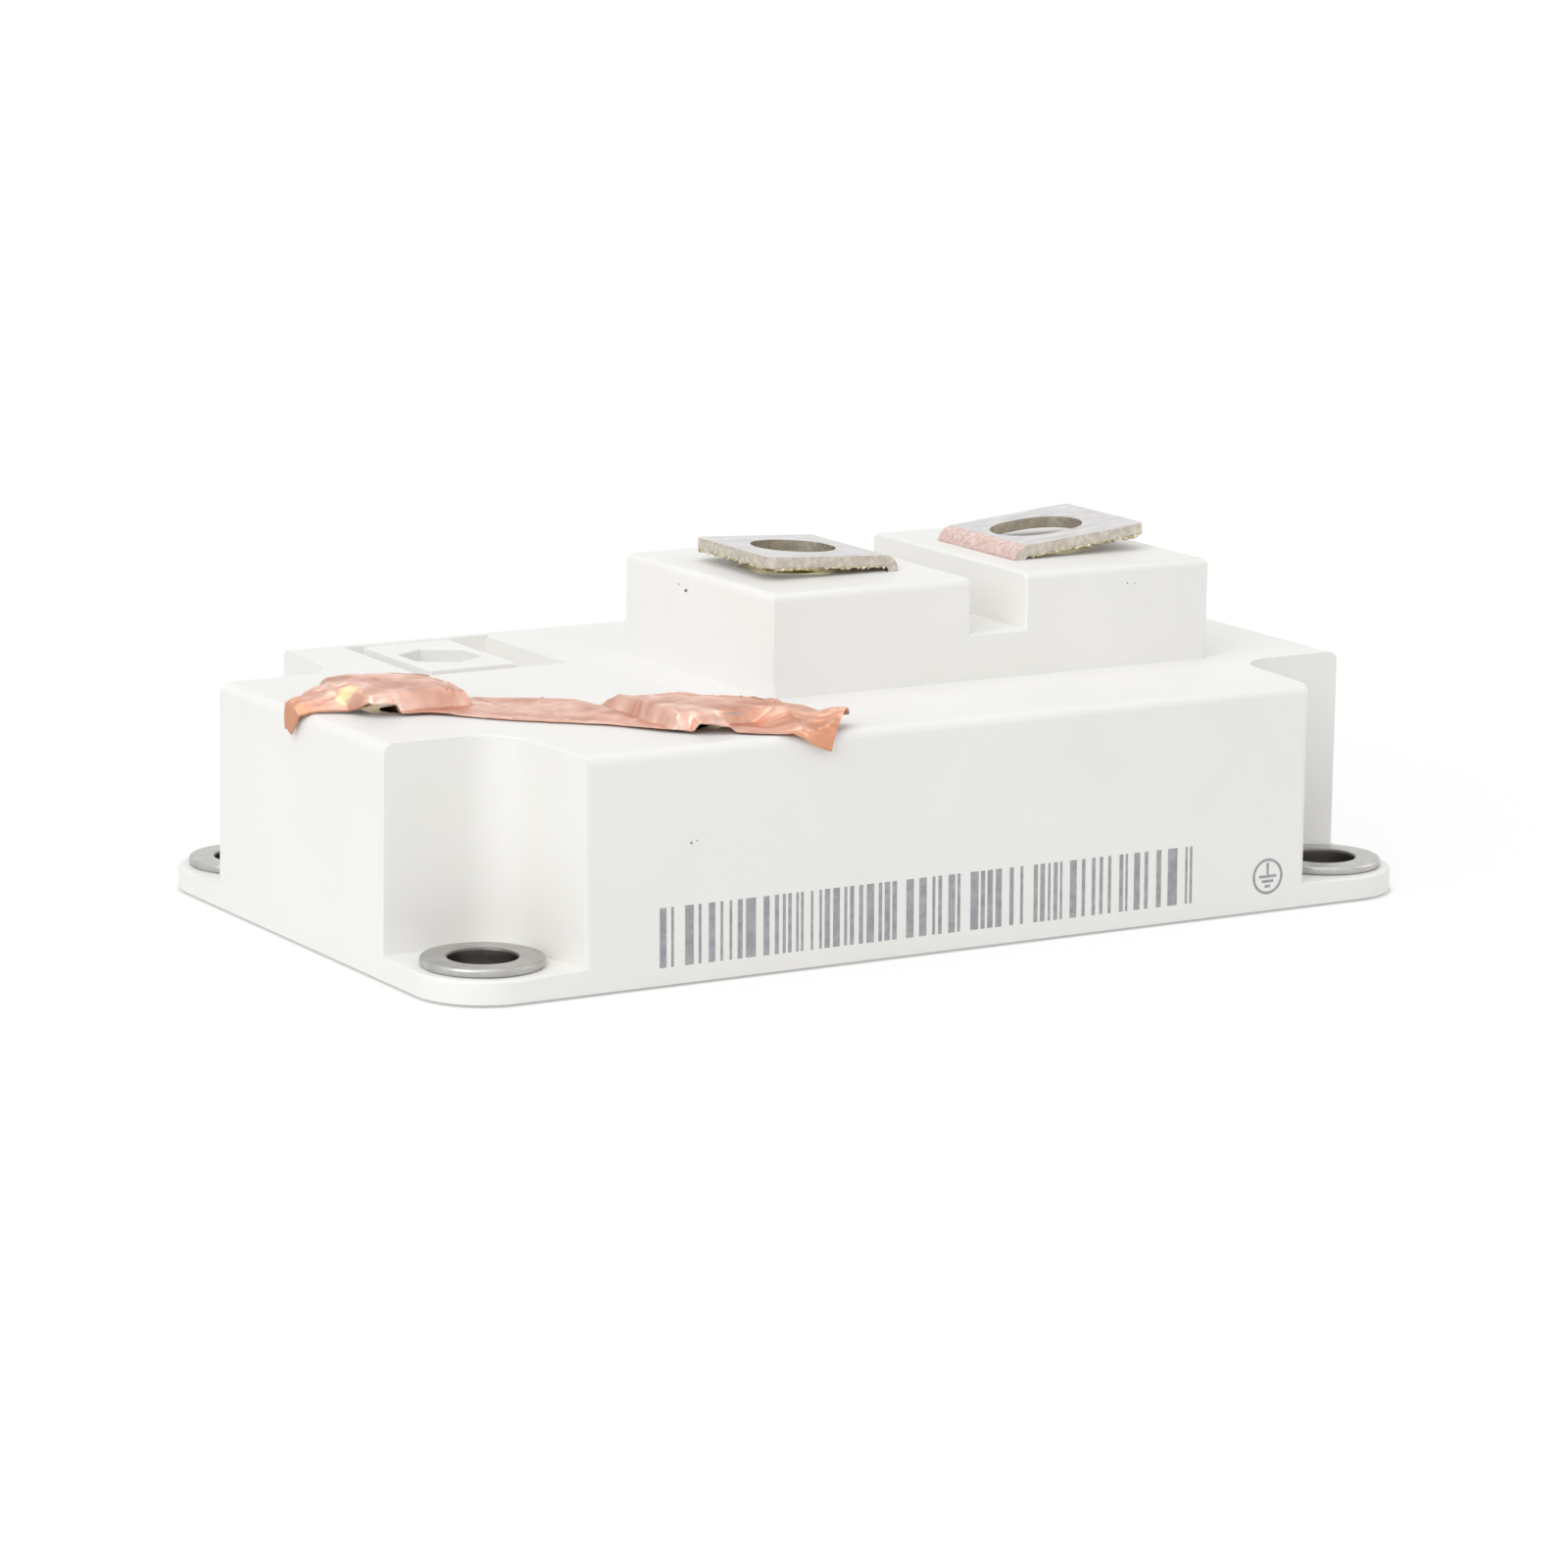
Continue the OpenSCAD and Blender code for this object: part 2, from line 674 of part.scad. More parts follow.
// Square chips, one on each side of the middle.
module chip_pair(s, x, side) {
    on_side(s) for (row = [-1, 1])
        translate([0, row * chip_row_y, 0]) layer(x, side, side, chip_z, chip_t);
}

module switches(s) {
    color("#5c6068") chip_pair(s, switch_x, switch_side);
}

module diodes(s) {
    color("#6f737a") chip_pair(s, diode_x, diode_side);
}

// Bond wire that stands as a half ring from x0 to x1, on feet that reach down to z0 and z1.
module wire_arch(x0, x1, y, d, z0, z1) {
    translate([(x0 + x1) / 2, y, wire_z]) rotate([90, 0, 0])
        rotate_extrude(angle = 180) translate([(x1 - x0) / 2, 0]) circle(d = d, $fn = wire_sides);
    if (z0 < wire_z) translate([x0, y, z0]) cylinder(d = d, h = wire_z - z0, $fn = wire_sides);
    if (z1 < wire_z) translate([x1, y, z1]) cylinder(d = d, h = wire_z - z1, $fn = wire_sides);
}

// Wires from the switches to the diodes, and on from the diodes to the emitter pad.
module power_wires(s) {
    color("#d8d8d8") on_side(s) for (row = [-1, 1], k = WIRE_Y) {
        y = row * chip_row_y + k;
        wire_arch(switch_x + wire_inset, diode_x - wire_inset, y, wire_d, wire_z, wire_z);
        wire_arch(diode_x + wire_inset, pad_l / 2 - emitter_pad_l + wire_inset, y, wire_d,
                  wire_z, chip_z);
    }
}

// One thin wire from each switch to the gate pad, past the side of the diode.
module gate_wires(s) {
    color("#d8d8d8") on_side(s) for (row = [-1, 1])
        wire_arch(switch_x + switch_side / 2 - wire_inset, gate_pad_x, row * (chip_row_y + gate_wire_y),
                  gate_wire_d, wire_z, chip_z);
}

module left_solder() { solder(-1); }
module left_back_copper() { back_copper(-1); }
module left_ceramic() { ceramic(-1); }
module left_collector_pad() { collector_pad(-1); }
module left_emitter_pad() { emitter_pad(-1); }
module left_gate_pad() { gate_pad(-1); }
module left_switches() { switches(-1); }
module left_diodes() { diodes(-1); }
module left_power_wires() { power_wires(-1); }
module left_gate_wires() { gate_wires(-1); }
module right_solder() { solder(1); }
module right_back_copper() { back_copper(1); }
module right_ceramic() { ceramic(1); }
module right_collector_pad() { collector_pad(1); }
module right_emitter_pad() { emitter_pad(1); }
module right_gate_pad() { gate_pad(1); }
module right_switches() { switches(1); }
module right_diodes() { diodes(1); }
module right_power_wires() { power_wires(1); }
module right_gate_wires() { gate_wires(1); }

// ---------------------------------------------------------------- leads and gel

// Round lead from under a control strap at x0 along X to x1, then down to a pad.
module control_lead(x0, x1, y) {
    translate([x0, y, lead_z]) rotate([0, x1 > x0 ? 90 : -90, 0])
        cylinder(d = lead_d, h = abs(x1 - x0), $fn = wire_sides);
    translate([x1, y, lead_z]) sphere(d = lead_d, $fn = wire_sides);
    translate([x1, y, chip_z]) cylinder(d = lead_d, h = lead_z - chip_z, $fn = wire_sides);
}

module gate_lead() {
    color("#c9b48a") control_lead(gate_x, -substrate_x - gate_pad_x, gate_y + pin_neck + pin_t / 2);
}

module sense_lead() {
    color("#c9b48a") control_lead(sense_x + pin_neck + pin_t / 2, -sense_pad_x, sense_y);
}

// Soft gel over the substrates, with everything that stands in it left out.
module silicone_gel() {
    color("#dfe6e6") difference() {
        translate([0, 0, plate_t]) linear_extrude(gel_top - plate_t) body_plan(wall + lean);
        for (s = [-1, 1]) {
            solder(s);
            back_copper(s);
            ceramic(s);
            collector_pad(s);
            emitter_pad(s);
            gate_pad(s);
            switches(s);
            diodes(s);
            power_wires(s);
            gate_wires(s);
        }
        emitter_terminal();
        collector_terminal();
        gate_terminal();
        sense_terminal();
        gate_lead();
        sense_lead();
    }
}

housing();
base_plate();
seal_bead();
bush_front_left();
bush_front_right();
bush_rear_left();
bush_rear_right();
emitter_terminal();
collector_terminal();
emitter_nut();
collector_nut();
gate_terminal();
sense_terminal();
gate_nut();
sense_nut();
shorting_foil();
left_solder();
left_back_copper();
left_ceramic();
left_collector_pad();
left_emitter_pad();
left_gate_pad();
left_switches();
left_diodes();
left_power_wires();
left_gate_wires();
right_solder();
right_back_copper();
right_ceramic();
right_collector_pad();
right_emitter_pad();
right_gate_pad();
right_switches();
right_diodes();
right_power_wires();
right_gate_wires();
gate_lead();
sense_lead();
silicone_gel();
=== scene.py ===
# %% [markdown]
# # Dressing a power module of the 62 mm class
#
# The object is a flat white block that switches a few hundred amperes: a moulded housing on a
# copper base, two screw tabs on raised blocks, steel bushes in the corners, and a strip of
# crumpled copper foil that keeps the control terminals shorted until the module is wired in.
# The engineering model already holds the real sizes, so this lesson never moves a part. It
# gives each part its edges, its finish and the small things that a maker's eye looks for.

# %% Load the engineering model
import json
import math
import random

import bmesh
import bpy
from mathutils import Matrix, Vector, noise

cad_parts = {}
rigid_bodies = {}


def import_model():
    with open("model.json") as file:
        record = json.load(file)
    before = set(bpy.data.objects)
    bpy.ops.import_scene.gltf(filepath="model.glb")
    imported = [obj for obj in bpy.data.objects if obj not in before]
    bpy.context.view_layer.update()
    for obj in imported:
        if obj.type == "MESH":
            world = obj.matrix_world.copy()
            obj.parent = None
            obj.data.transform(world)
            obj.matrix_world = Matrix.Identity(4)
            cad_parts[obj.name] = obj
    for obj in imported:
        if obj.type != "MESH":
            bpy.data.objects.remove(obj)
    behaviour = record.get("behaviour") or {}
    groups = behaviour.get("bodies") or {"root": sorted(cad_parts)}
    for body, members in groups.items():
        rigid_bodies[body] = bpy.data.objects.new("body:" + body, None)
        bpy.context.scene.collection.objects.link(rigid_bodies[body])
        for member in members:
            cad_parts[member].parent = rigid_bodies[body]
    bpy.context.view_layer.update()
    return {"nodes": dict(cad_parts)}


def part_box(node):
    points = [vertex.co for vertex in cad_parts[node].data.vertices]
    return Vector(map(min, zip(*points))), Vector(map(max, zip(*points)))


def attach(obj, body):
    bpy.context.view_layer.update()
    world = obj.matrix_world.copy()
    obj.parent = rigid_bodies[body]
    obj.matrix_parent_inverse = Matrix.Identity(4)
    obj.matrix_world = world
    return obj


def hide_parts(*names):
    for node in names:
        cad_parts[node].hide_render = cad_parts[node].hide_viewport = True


for leftover in list(bpy.data.objects):
    bpy.data.objects.remove(leftover)
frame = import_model()
MM = 0.001


def add_object(name, data):
    """New object at the origin, linked into the scene."""
    thing = bpy.data.objects.new(name, data)
    bpy.context.collection.objects.link(thing)
    return thing


# %% [markdown]
# ## Camera
#
# A product picture of a small block is taken from half a metre or so with a long lens, so that
# parallel edges stay nearly parallel. The camera could be aimed with a constraint, but
# three plain turns are easier to read: round the vertical, down from the horizon, and a
# slight roll, as on a camera that is held by hand.

# %% Camera
CAMERA_PLACE = Vector((-288.55, -475.46, 123.65)) * MM
CAMERA_TURN = math.radians(-31.2)
CAMERA_DIP = math.radians(11.52)
CAMERA_ROLL = math.radians(0.86)
LENS = 134.28
SENSOR = 36

camera = add_object("camera", bpy.data.cameras.new("camera"))
camera.data.sensor_width = SENSOR
camera.data.lens = LENS
camera.matrix_world = (
    Matrix.Translation(CAMERA_PLACE)
    @ Matrix.Rotation(CAMERA_TURN, 4, "Z")
    @ Matrix.Rotation(math.pi / 2 - CAMERA_DIP, 4, "X")
    @ Matrix.Rotation(CAMERA_ROLL, 4, "Z")
)
bpy.context.scene.camera = camera
print("camera stands", round(CAMERA_PLACE.length, 3), "m from the module")

# %% [markdown]
# ## Helpers for materials
#
# Colours are easiest to compare as the hex values that a screen shows, while shaders work on
# linear light, so one function turns the first into the second. Another adds a node with its
# settings and its inputs in one call: a value that is a socket is linked, any other is set.

# %% Material helpers
MATH = "ShaderNodeMath"
VECTOR_MATH = "ShaderNodeVectorMath"
RAMP = "ShaderNodeValToRGB"
NOISE = "ShaderNodeTexNoise"
PRINCIPLED = "ShaderNodeBsdfPrincipled"
OUTPUT = "ShaderNodeOutputMaterial"
MAP_RANGE = "ShaderNodeMapRange"
COMBINE = "ShaderNodeCombineXYZ"
CIRCLE = "GeometryNodeCurvePrimitiveCircle"


def to_linear(code):
    """Linear colour, with alpha, of a screen colour such as #c0ffee."""
    parts = [int(code[i:i + 2], 16) / 255 for i in (1, 3, 5)]
    return [c / 12.92 if c <= 0.04045 else ((c + 0.055) / 1.055) ** 2.4 for c in parts] + [1]


def add_node(tree, kind, inputs=(), stops=(), **settings):
    """Adds a node with its settings, its inputs and, on a ramp, its (place, hex colour) stops.

    Inputs come in order or by name. A socket or a node is linked, any other value is set.
    """
    node = tree.nodes.new(kind)
    for name, value in settings.items():
        setattr(node, name, value)
    for number, (place, code) in enumerate(stops):
        elements = node.color_ramp.elements
        stop = elements[number] if number < len(elements) else elements.new(place)
        stop.position, stop.color = place, to_linear(code)
    for key, value in inputs.items() if isinstance(inputs, dict) else enumerate(inputs):
        source = value.outputs[0] if isinstance(value, bpy.types.Node) else value
        if isinstance(source, bpy.types.NodeSocket):
            tree.links.new(source, node.inputs[key])
        else:
            node.inputs[key].default_value = source
    return node


def new_material(name):
    """An empty material, its tree, and the place in object space that its pattern follows."""
    material = bpy.data.materials.new(name)
    material.use_nodes = True
    tree = material.node_tree
    tree.nodes.clear()
    return material, tree, add_node(tree, "ShaderNodeTexCoord").outputs["Object"]


def per_metre(size_mm):
    """Texture scale at which one feature of the pattern is about size_mm across."""
    return 1 / (size_mm * MM)


def patchy_finish(name, stops, size_mm, gloss, metallic=0.0, stretch=(1, 1, 1), relief_mm=0.0,
                  clear=0.0, detail=4):
    """A finish whose colour drifts in patches of size_mm, stretched along its grain.

    The gloss is one roughness, or a pair between which the roughness drifts with the colour.
    """
    material, tree, place = new_material(name)
    grain = add_node(tree, "ShaderNodeMapping", {"Vector": place, "Scale": stretch})
    patch = add_node(tree, NOISE, {"Vector": grain, "Scale": per_metre(size_mm), "Detail": detail})
    if isinstance(gloss, tuple):
        gloss = add_node(tree, MAP_RANGE, {"Value": patch, "To Min": gloss[0], "To Max": gloss[1]})
    inputs = {"Base Color": add_node(tree, RAMP, [patch], stops=stops), "Roughness": gloss,
              "Metallic": metallic, "Transmission Weight": clear}
    if relief_mm:
        inputs["Normal"] = add_node(tree, "ShaderNodeBump", {"Height": patch, "Strength": 0.4,
                                                             "Distance": relief_mm * MM})
    add_node(tree, OUTPUT, [add_node(tree, PRINCIPLED, inputs)])
    return material


print("white in linear light:", to_linear("#ffffff"))

# %% [markdown]
# ## Floor, world and lamps
#
# White plastic on white paper is lit by large soft boxes: a strong one high on the left, one
# above, and two weak ones that open up the shadows in front and on the right. The paper and
# the world show as plain white to the camera and in reflections, while they light the object
# at a lower level. The paper could be an emitter only, but then the object would seem to
# float, so near the object part of it stays a plain diffuse surface that keeps the shadow.

# %% Studio
FLOOR_HALF = 6.0
FLOOR_GLOW = 0.8
SHADOW_REACH = 200 * MM
# Footprint under which the paper glows less: a painted contact shadow.
FOOT_CORE = (46.7 * MM, 24.2 * MM, 0)
FOOT_RADIUS = 6.5 * MM
FOOT_FADE = 1.05
FOOT_GLOW = 0.4
PAPER_LIGHT = 1.03
WORLD_LEVEL = 0.5


def seen_directly(tree):
    """1 for rays from the camera, a mirror or a glass, and 0 for light that falls on things."""
    rays = add_node(tree, "ShaderNodeLightPath").outputs
    either = add_node(tree, MATH, [rays["Is Camera Ray"], rays["Is Glossy Ray"]], operation="MAXIMUM")
    return add_node(tree, MATH, [either, rays["Is Transmission Ray"]], operation="MAXIMUM")


def paper_material():
    """Matte white background paper: white where it is seen, faintly grey in shadow, with a painted shadow under
    the foot.
    """
    material, tree, place = new_material("matte_background_paper")
    mirrored = add_node(tree, VECTOR_MATH, [place], operation="ABSOLUTE")
    beyond = add_node(tree, VECTOR_MATH, [mirrored, FOOT_CORE], operation="SUBTRACT")
    outside = add_node(tree, VECTOR_MATH, [beyond, (0, 0, 0)], operation="MAXIMUM")
    distance = add_node(tree, VECTOR_MATH, [outside], operation="LENGTH").outputs["Value"]
    share = seen_directly(tree)
    # Under the foot the paper hardly glows, which paints a grey shadow along the foot; close by it keeps a real
    # shadow, and far off it is white.
    for far, least in ((FOOT_FADE * FOOT_RADIUS, FOOT_GLOW), (SHADOW_REACH, FLOOR_GLOW)):
        level = add_node(tree, MAP_RANGE, {"Value": distance, "From Min": FOOT_RADIUS,
                                                      "From Max": far, "To Min": least})
        share = add_node(tree, MATH, [share, level], operation="MULTIPLY")
    paper = add_node(tree, "ShaderNodeBsdfDiffuse", {"Color": to_linear("#f4f4f2")})
    glow = add_node(tree, "ShaderNodeEmission", {"Color": to_linear("#ffffff"), "Strength": PAPER_LIGHT})
    add_node(tree, OUTPUT, [add_node(tree, "ShaderNodeMixShader", [share, paper, glow])])
    return material


floor_mesh = bpy.data.meshes.new("floor")
floor_mesh.from_pydata([(x * FLOOR_HALF, y * FLOOR_HALF, 0) for x, y in ((-1, -1), (1, -1), (1, 1), (-1, 1))],
                       [], [(0, 1, 2, 3)])
floor_mesh.materials.append(paper_material())
floor = add_object("floor", floor_mesh)

world = bpy.data.worlds.new("studio")
bpy.context.scene.world = world
world.use_nodes = True
sky = world.node_tree
sky.nodes.clear()
level = add_node(sky, MAP_RANGE, {"Value": seen_directly(sky), "To Min": WORLD_LEVEL, "To Max": 1.0})
background = add_node(sky, "ShaderNodeBackground", {"Color": to_linear("#ffffff"),
                                                    "Strength": level})
add_node(sky, "ShaderNodeOutputWorld", {"Surface": background})

for name, place, side, watts in (("left_soft_box", (-0.75, -0.35, 0.55), 0.7, 3.8),
                                 ("front_soft_box", (0.05, -0.9, 0.55), 0.7, 0.6),
                                 ("right_soft_box", (0.8, -0.2, 0.45), 0.6, 1.1),
                                 ("top_soft_box", (-0.1, 0.15, 0.9), 0.8, 2.1)):
    lamp = add_object(name, bpy.data.lights.new(name, "AREA"))
    lamp.data.energy = watts
    lamp.data.size = side
    lamp.location = place
    lamp.rotation_euler = (-Vector(place)).to_track_quat("-Z", "Y").to_euler()
    print(name, watts, "W")

bpy.context.scene.view_settings.view_transform = "Standard"

# %% [markdown]
# ## Helpers for meshes
#
# An engineering mesh comes as loose triangles. Before it can be bevelled it is copied, its
# doubled points are merged and its flat faces are made whole. Modifiers do the rest, and
# their result is made a plain mesh.

# %% Mesh helpers
def merged_copy(node, name, flat=math.radians(0.3), weld=0.001 * MM):
    """New object with a node's shape, its doubles merged and its flat faces made whole."""
    mesh = frame["nodes"][node].data.copy()
    mesh.name = name
    work = bmesh.new()
    work.from_mesh(mesh)
    bmesh.ops.remove_doubles(work, verts=work.verts, dist=weld)
    if flat:
        bmesh.ops.dissolve_limit(work, angle_limit=flat, verts=work.verts, edges=work.edges)
    work.to_mesh(mesh)
    work.free()
    mesh.materials.clear()
    return add_object(name, mesh)


def apply_modifiers(piece):
    """Makes the result of a piece's modifiers its plain mesh."""
    bpy.context.view_layer.update()
    graph = bpy.context.evaluated_depsgraph_get()
    mesh = bpy.data.meshes.new_from_object(piece.evaluated_get(graph))
    piece.modifiers.clear()
    piece.data = mesh
    mesh.name = piece.name


def shade(piece, smooth_below):
    """Smooth shading, except across the edges that turn by more than an angle in degrees."""
    work = bmesh.new()
    work.from_mesh(piece.data)
    work.normal_update()
    for face in work.faces:
        face.smooth = True
    for edge in work.edges:
        edge.smooth = len(edge.link_faces) == 2 and edge.calc_face_angle() < math.radians(smooth_below)
    work.to_mesh(piece.data)
    work.free()


def soften_edges(piece, width, weight_of, segments=3):
    """Rounds a piece's edges. weight_of gives each edge of the mesh its share of the width."""
    work = bmesh.new()
    work.from_mesh(piece.data)
    work.normal_update()
    layer = work.edges.layers.float.new("bevel_weight_edge")
    count = 0
    for edge in work.edges:
        if len(edge.link_faces) == 2:
            edge[layer] = weight_of(edge)
            count += edge[layer] > 0
    work.to_mesh(piece.data)
    work.free()
    bevel = piece.modifiers.new("rounding", "BEVEL")
    bevel.limit_method = "WEIGHT"
    bevel.width = width
    bevel.segments = segments
    bevel.use_clamp_overlap = False
    bevel.loop_slide = False
    apply_modifiers(piece)
    shade(piece, 35)
    normals = piece.modifiers.new("even_shading", "WEIGHTED_NORMAL")
    normals.keep_sharp = True
    apply_modifiers(piece)
    print(piece.name, "edges rounded:", count, "faces:", len(piece.data.polygons))


def dress(piece, material, slot, *nodes):
    """Gives a finished piece its material and its body, and hides the nodes it stands for. The slot is not
    used.
    """
    if material is not None:
        piece.data.materials.clear()
        piece.data.materials.append(material)
    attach(piece, "root")
    if nodes:
        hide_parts(*nodes)

# %% [markdown]
# ## Housing
#
# The housing is one moulding in glass-filled PBT, a warm white plastic with a satin skin. A
# mould has no knife edges: each outer corner has a radius of about half a millimetre, and
# the rims of the small recesses have half of that. A shader can fake such edges, but real
# ones catch a line of light from every side, so they are cut with a bevel that is weighted
# edge by edge.

# %% Which edges of the housing are rounded
EDGE_WIDTH = 0.5 * MM
SHARP = math.radians(60)
HOLE_X, HOLE_Y = 46.5, 24
DECK_Z = 21.9
ROUNDED_TOP = 0.95
FLANGE_Z = 2.45
SLOT_WALLS = (11.5, 17.8)
# Lines in plan and levels, in mm, between which the kinds of edges lie.
BASE_EDGE_Z = 0.3
NOTCH_X, NOTCH_Y = 39, 16
BUSH_SEAT_R = 5
NEAR = 0.1
BLOCKS_Z, BLOCK_FOOT_Z, BLOCK_TOP_Z = 26.3, 26.5, 31.7
BLOCK_FACE_Y = 14
RECESS_X, RECESS_Y, RECESS_Z = (-34.1, -18.1), (11.4, 28.3), 20
WELLS_X, WELLS_Y = (-47.5, -11), 5


def corner_share(x, y, z):
    """Share for the edges round one corner: its notch and the flange below it."""
    from_hole = math.hypot(x - HOLE_X, y - HOLE_Y)
    if z < BASE_EDGE_Z:
        return 0
    if x < NOTCH_X or y < NOTCH_Y or from_hole < BUSH_SEAT_R or z < FLANGE_Z - NEAR:
        return 0
    if z > DECK_Z - ROUNDED_TOP:
        return 0
    return 1 if z > FLANGE_Z + NEAR else 0.7


def rim_share(edge):
    """How much of the full radius an edge of the housing gets, from 0 to 1."""
    if not edge.is_convex or edge.calc_face_angle() < SHARP:
        return 0
    x, y, z = (edge.verts[0].co + edge.verts[1].co) / 2 / MM
    beside_slot = min(abs(x - wall) for wall in SLOT_WALLS) < 0.05
    if z > BLOCKS_Z:
        if beside_slot or abs(y) > BLOCK_FACE_Y and z < BLOCK_FOOT_Z:
            return 0.6
        return 0.4 if z > BLOCK_TOP_Z else 0
    if RECESS_X[0] < x < RECESS_X[1] and y > RECESS_Y[0] and z > RECESS_Z:
        return 0 if y > RECESS_Y[1] else 0.45
    on_deck = abs(z - DECK_Z) < 0.01 and WELLS_X[0] < x < WELLS_X[1] and y < WELLS_Y
    return 0.3 if on_deck else corner_share(abs(x), abs(y), z)


# %% Housing piece
housing = merged_copy("housing", "housing_shell")
soften_edges(housing, EDGE_WIDTH, rim_share)

# %% [markdown]
# ## Moulded white PBT
#
# Glass-filled PBT from a spark-eroded mould is a warm white with a satin skin: it has an
# even, very fine grain, and here and there a slightly deeper tint. The tint comes from slow
# noise, the grain from fine noise that changes both the gloss and the bump.

# %% White PBT
def moulded_pbt():
    """Warm white satin plastic. The grain gives it soft, broad highlights."""
    material, tree, place = new_material("moulded_white_pbt")
    cloud = add_node(tree, NOISE, {"Vector": place, "Scale": per_metre(14), "Detail": 3})
    grain = add_node(tree, NOISE, {"Vector": place, "Scale": per_metre(0.35), "Detail": 2})
    tint = add_node(tree, RAMP, [cloud], stops=[(0.3, "#f3f2ee"), (0.7, "#f6f5f3")])
    gloss = add_node(tree, MAP_RANGE, {"Value": grain, "To Min": 0.36, "To Max": 0.5})
    bump = add_node(tree, "ShaderNodeBump", {"Height": grain, "Strength": 0.12,
                                             "Distance": 0.02 * MM})
    shader = add_node(tree, PRINCIPLED, {"Base Color": tint, "Roughness": gloss, "Normal": bump, "IOR": 1.54})
    add_node(tree, OUTPUT, [shader])
    return material


dress(housing, moulded_pbt(), "white_housing", "housing")

# %% [markdown]
# ## Helpers for Geometry Nodes
#
# What repeats, or follows a path, is grown by a small node tree whose sizes are named inputs.
# A tree is built in code, run once on an empty object, and its result is kept as a plain mesh.

# %% Helpers for trees
def new_tree(name, **sizes):
    """A geometry tree with one named input for each size. Gives the tree and its inputs."""
    tree = bpy.data.node_groups.new(name, "GeometryNodeTree")
    tree.interface.new_socket("Geometry", in_out="OUTPUT", socket_type="NodeSocketGeometry")
    kinds = {float: "NodeSocketFloat", int: "NodeSocketInt", tuple: "NodeSocketVector"}
    for label, value in sizes.items():
        socket = tree.interface.new_socket(label, in_out="INPUT", socket_type=kinds[type(value)])
        socket.default_value = value
    tree.interface.new_socket("finish", in_out="INPUT", socket_type="NodeSocketMaterial")
    return tree, tree.nodes.new("NodeGroupInput").outputs


def end_tree(tree, geometry, finish):
    """Ends a tree: what was instanced becomes real mesh and gets its material."""
    real = add_node(tree, "GeometryNodeRealizeInstances", {"Geometry": geometry})
    painted = add_node(tree, "GeometryNodeSetMaterial", {"Geometry": real, "Material": finish})
    sink = tree.nodes.new("NodeGroupOutput")
    tree.links.new(painted.outputs[0], sink.inputs[0])


def grow(name, tree, material, smooth_below=None, **sizes):
    """Runs a tree with some of its sizes changed, and keeps the result as a plain mesh."""
    piece = add_object(name, bpy.data.meshes.new(name))
    modifier = piece.modifiers.new(name, "NODES")
    modifier.node_group = tree
    sizes["finish"] = material
    for item in tree.interface.items_tree:
        if item.in_out == "INPUT" and item.name in sizes:
            modifier[item.identifier] = sizes[item.name]
    apply_modifiers(piece)
    close_and_turn_out(piece)
    if smooth_below:
        shade(piece, smooth_below)
    print(name, "faces:", len(piece.data.polygons))
    return piece


def close_and_turn_out(piece):
    """Merges doubled points and turns all faces outwards."""
    work = bmesh.new()
    work.from_mesh(piece.data)
    bmesh.ops.remove_doubles(work, verts=work.verts, dist=0.001 * MM)
    bmesh.ops.recalc_face_normals(work, faces=work.faces)
    work.to_mesh(piece.data)
    work.free()


# %% [markdown]
# ## Steel bushes
#
# Each mounting screw presses on a steel bush, so that the plastic never carries its load.
# A bush is a turned part: one outline, spun round its axis, the same in all four corners.
# The tree draws half the outline as a polyline, rounds its corners, sweeps it round a circle
# and sets a copy on each point of a two by two grid.

# %% Turned steel
TURNING_PITCH = 0.18
BORE_RIM = (3.45 * MM, 3.25 * MM)


def turned_steel():
    """Bright turned steel: fine rings round each bore catch the light as two soft fans."""
    material, tree, place = new_material("turned_zinc_plated_steel")
    mirrored = add_node(tree, VECTOR_MATH, [place], operation="ABSOLUTE")
    flat = add_node(tree, VECTOR_MATH, [mirrored, (1, 1, 0)], operation="MULTIPLY")
    offset = add_node(tree, VECTOR_MATH, [flat, (HOLE_X * MM, HOLE_Y * MM, 0)],
                      operation="SUBTRACT")
    radius = add_node(tree, VECTOR_MATH, [offset], operation="LENGTH").outputs["Value"]
    # Real turning marks are 0.05 mm apart, too fine to show, so they are drawn at 0.18 mm.
    turns = add_node(tree, MATH, [radius, 2 * math.pi * per_metre(TURNING_PITCH)], operation="MULTIPLY")
    ring = add_node(tree, MATH, [turns], operation="SINE")
    stain = add_node(tree, NOISE, {"Vector": place, "Scale": per_metre(1.6), "Detail": 4})
    tint = add_node(tree, RAMP, [stain], stops=[(0.32, "#b1b0ad"), (0.55, "#bdbcb9"), (0.75, "#c9c8c5")])
    # The bore is painted dark grey: painted shade inside the hole.
    bore_shade = add_node(tree, MAP_RANGE, {"Value": radius, "From Min": BORE_RIM[0],
                                                    "From Max": BORE_RIM[1]})
    colour = add_node(tree, "ShaderNodeMix", {"Factor": bore_shade, "A": tint, "B": to_linear("#6d6a66")},
                      data_type="RGBA").outputs["Result"]
    gloss = add_node(tree, MAP_RANGE, {"Value": stain, "To Min": 0.26, "To Max": 0.44})
    bump = add_node(tree, "ShaderNodeBump", {"Height": ring, "Strength": 0.25, "Distance": 0.01 * MM})
    surface = {"Base Color": colour, "Roughness": gloss, "Normal": bump, "Metallic": 1}
    add_node(tree, OUTPUT, [add_node(tree, PRINCIPLED, surface)])
    return material


